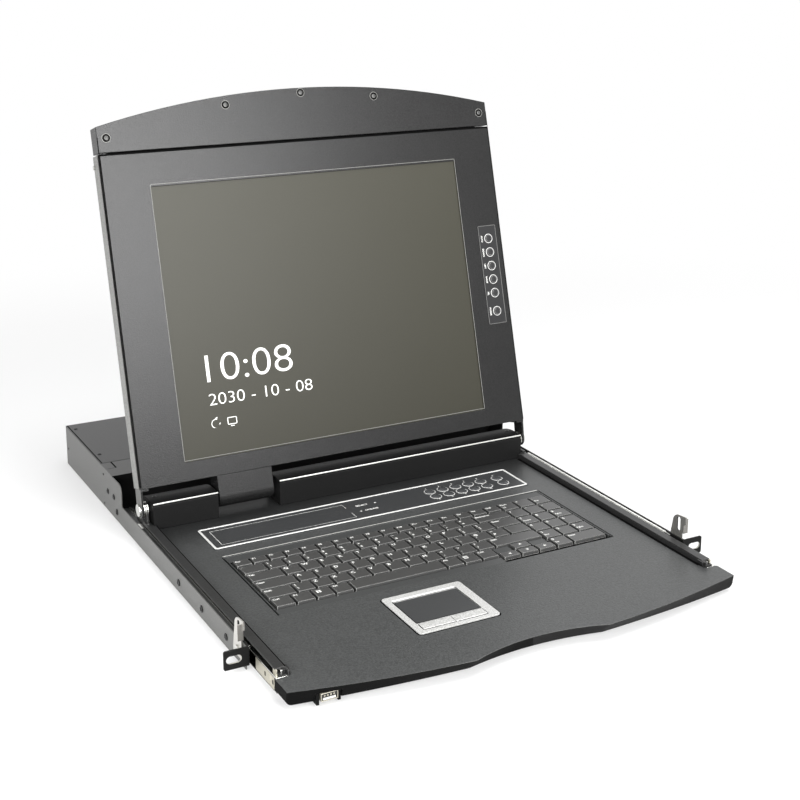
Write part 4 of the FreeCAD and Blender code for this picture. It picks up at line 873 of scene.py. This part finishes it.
strip_words = [(word, 191.5, up, 1.75, 0.5, 3) for word, (_, up) in
               zip(("AUTO", "DOWN", "LEFT", "RIGHT", "SEL", "POWER"), strip_spots)]
printed("strip_printing", (), at_level(STRIP_FACE + 0.04, on_display), white_ink, "display",
        strip_words)
grey_edge = grained("grey_cut_film_edge", "#6a6a68", "#747472", 0.8, 0.1, 0.5)
bead("strip_edge", rounded(189.2, 129.2, 210.5, 235.8, 1.0), 0.5, 0.15, STRIP_FACE - RIM_SINK, on_display,
     grey_edge, "display")

# Screen
# Lit LCD behind an anti-glare film that blurs reflections, showing a plain clock on an olive-grey ground.
screen = grained("anti_glare_screen_film", "#2a2922", "#27261e", 1.2, 0.1, 0.36, gloss=0.24)
tree, surface = screen.node_tree, surface_of(screen)
surface.inputs["Emission Strength"].default_value = 1.0
glow_place = add(tree, "SeparateXYZ", {0: add(tree, "TexCoord").outputs["Object"]})
height = add(tree, "MapRange", {"Value": glow_place.outputs["Z"]}, from_min=0.055, from_max=0.32)
glow = add(tree, "Mix", {0: height.outputs[0]}, data_type="RGBA")
glow.inputs[6].default_value = srgb("#201f17")
glow.inputs[7].default_value = srgb("#37362d")
tree.links.new(glow.outputs[2], surface.inputs["Emission Color"])
dress(screen, "lcd_panel")
bead("screen_edge", rounded(-170.3, 40.2, 170.3, 311.0, 0.4, 3), 0.5, 0.12, BEZEL_FACE - 0.04, on_display,
     rubbing_and_highlight, "display")
lit_white = grained("lit_white_pixels", "#e6e6e2", "#dededa", 1.0, 0.0, 0.5)
surface = surface_of(lit_white)
surface.inputs["Emission Color"].default_value = srgb("#8a8a86")
surface.inputs["Emission Strength"].default_value = 1.0
# A thin moon and a small monitor on its foot.
moon = np.concatenate([circle(-133.5, 71.3, 4.2, 40)[8:38], circle(-130.9, 73.9, 3.4, 40)[34:10:-1]])
screen_marks = [*ring(moon, 0.7), *ring(rounded(-120.7, 68.6, -111.5, 75.2, 0.8, 3), 0.8),
                rounded(-118.0, 66.4, -114.2, 67.3, 0.3, 3)]
screen_mark = at_level(SCREEN_FACE + 0.05, on_display)
printed("screen_marks", screen_marks, screen_mark, lit_white, "display")
# The clock's wide, thin digits are the plain font stretched across.
STRETCH = 1.18
clock_words = [("10:08", -124.5, 112.3, 27.3, 0, 0), ("2030 - 10 - 08", -117.2, 89.6, 11.4, 0, 0)]
printed("screen_clock", (), lambda flat: screen_mark(flat * [STRETCH, 1]), lit_white, "display",
        clock_words)

# Rear box fittings
# Board and supply inside, and the sockets at the back: two video connectors, each in a plated shell between two
# hex posts, and a mains inlet with three pins. The board's laminate is a dull green, and the sockets' moulded
# plastic a dull black.
board = grained("green_board_laminate", "#2c4a36", "#31523c", 0.8, 0.2, 0.4)
dress(board, "rear_box_boards")
socket_plastic = grained("black_socket_plastic", "#1e1e1e", "#252525", 0.6, 0.3, 0.4)
sockets = soften("rear_sockets", socket_plastic, 0.3)
# The bodies end 2.5 mm short, which leaves room for the connectors' plated shells within the same length.
spots = spots_of(sockets.data)
spots[:, 1] = np.where(spots[:, 1] > 525 * MM, 523 * MM, spots[:, 1])
sockets.data.vertices.foreach_set("co", spots.ravel())
sockets.data.update()
behind = on_wall(0, 1)


def shell_outline(across, wide, narrow, low, high):
    """The outline of a video connector: half widths of its upper and lower side, and their heights."""
    return [(across - wide, high), (across - narrow, low), (across + narrow, low), (across + wide, high)]


for number, across in enumerate((39.96, -19.98), start=1):
    slab(f"connector_shell_{number}", shell_outline(across, 8.6, 7.0, 3.8, 12.2), 522, 525.2, 0.4, behind,
         satin_zinc, "chassis")
    slab(f"connector_insert_{number}", shell_outline(across, 7.6, 6.3, 4.6, 11.4), 522, 525.3, 0.1, behind,
         black_part, "chassis")
    for post, side in enumerate((-1, 1), start=1):
        slab(f"connector_post_{number}_{post}", circle(across + side * 12.4, 8.0, 2.6, 6), 522, 525.4, 0.4,
             behind, satin_zinc, "chassis")
for number, (across, up) in enumerate(((150.96, 11.5), (157.5, 6.2), (144.4, 6.2)), start=1):
    slab(f"inlet_pin_{number}", block(across - 1.0, up - 2.2, across + 1.0, up + 2.2), 505, 517, 0.4, behind,
         satin_zinc, "chassis")

# Floor and light
# A plain pale floor under soft studio lamps. Near the object it shows their light and the soft shadow, and far
# away it shows white, as the backdrop does.


def eye_rays(tree):
    """1 for rays that reach the camera, straight or by way of something glossy or clear, and 0 for others."""
    rays = add(tree, "LightPath").outputs
    seen = rays["Is Camera Ray"]
    for kind in ("Is Glossy Ray", "Is Transmission Ray"):
        seen = add(tree, "Math", {0: seen, 1: rays[kind]}, operation="MAXIMUM").outputs[0]
    return seen


floor_mesh = bpy.data.meshes.new("floor")
low = cad_box[0][2] - 0.0005
floor_mesh.from_pydata([(-40, -40, low), (40, -40, low), (40, 40, low), (-40, 40, low)], [], [(0, 1, 2, 3)])
floor = bpy.data.objects.new("floor", floor_mesh)
bpy.context.scene.collection.objects.link(floor)
floor_paint = bpy.data.materials.new("white_studio_floor")
floor_paint.use_nodes = True
tree = floor_paint.node_tree
tree.nodes.clear()
matt = add(tree, "BsdfDiffuse", Color=srgb("#f6f6f6"))
white = add(tree, "Emission", Color=(1, 1, 1, 1), Strength=1.0)
distance = add(tree, "VectorMath", {0: add(tree, "TexCoord").outputs["Object"]}, operation="LENGTH")
away = add(tree, "MapRange", {"Value": distance.outputs["Value"]}, interpolation_type="SMOOTHSTEP",
           from_min=0.75, from_max=1.5, to_min=0.5)
share = add(tree, "Math", {0: eye_rays(tree), 1: away.outputs[0]}, operation="MULTIPLY")
both = add(tree, "MixShader", {0: share.outputs[0], 1: matt.outputs[0], 2: white.outputs[0]})
add(tree, "OutputMaterial", {"Surface": both.outputs[0]})
floor_mesh.materials.append(floor_paint)


def lamp(name, spot, target, size, power):
    """A rectangular soft lamp at spot, facing target."""
    light = bpy.data.lights.new(name, "AREA")
    light.shape = "RECTANGLE"
    light.size, light.size_y = size
    light.energy = power
    holder = bpy.data.objects.new(name, light)
    bpy.context.scene.collection.objects.link(holder)
    way = Vector(target) - Vector(spot)
    holder.matrix_world = Matrix.Translation(spot) @ way.to_track_quat("-Z", "Y").to_matrix().to_4x4()


lamp("top_lamp", (0.3, -0.5, 2.5), (0, 0.0, 0), (1.4, 1.4), 50)
lamp("left_lamp", (-1.5, -0.98, 0.74), (-0.1, 0.1, 0), (1.0, 1.0), 23)
lamp("front_lamp", (0.58, -2.45, 1.3), (0, 0.3, 0.2), (1.1, 1.3), 65)
lamp("low_lamp", (-0.95, -0.2, 0.22), (-0.22, 0.05, 0), (0.4, 0.3), 3)
lamp("rear_lamp", (2.0, 2.2, 1.3), (0.1, 0.1, 0), (1.2, 1.0), 2)

world = bpy.data.worlds.new("studio")
bpy.context.scene.world = world
world.use_nodes = True
tree = world.node_tree
tree.nodes.clear()
plain = add(tree, "Background", Color=(1, 1, 1, 1), Strength=0.36)
white = add(tree, "Background", Color=(1, 1, 1, 1), Strength=1.0)
both = add(tree, "MixShader", {0: eye_rays(tree), 1: plain.outputs[0], 2: white.outputs[0]})
add(tree, "OutputWorld", {"Surface": both.outputs[0]})

# Camera
# At the photograph's viewpoint: left of the drawer, looking down a little and to the right.
YAW, DIP, ROLL = math.radians(28.34), math.radians(14.03), math.radians(0.17)
eye = Vector((-0.6129, -0.9929, 0.5722))
forward = Vector((math.sin(YAW) * math.cos(DIP), math.cos(YAW) * math.cos(DIP), -math.sin(DIP)))
right = Vector((math.cos(YAW), -math.sin(YAW), 0))
up = right.cross(forward)
turn = Matrix((right, up, -forward)).transposed().to_4x4()
camera_data = bpy.data.cameras.new("photo_camera")
camera_data.sensor_width = 36
camera_data.lens = 65.45
camera_data.shift_x = -0.0067
camera_data.shift_y = -0.1447
camera_data.clip_start = 0.01
camera_data.clip_end = 100
camera = bpy.data.objects.new("photo_camera", camera_data)
bpy.context.scene.collection.objects.link(camera)
camera.matrix_world = Matrix.Translation(eye) @ turn @ Matrix.Rotation(ROLL, 4, "Z")
bpy.context.scene.camera = camera
bpy.context.scene.view_settings.view_transform = "Standard"
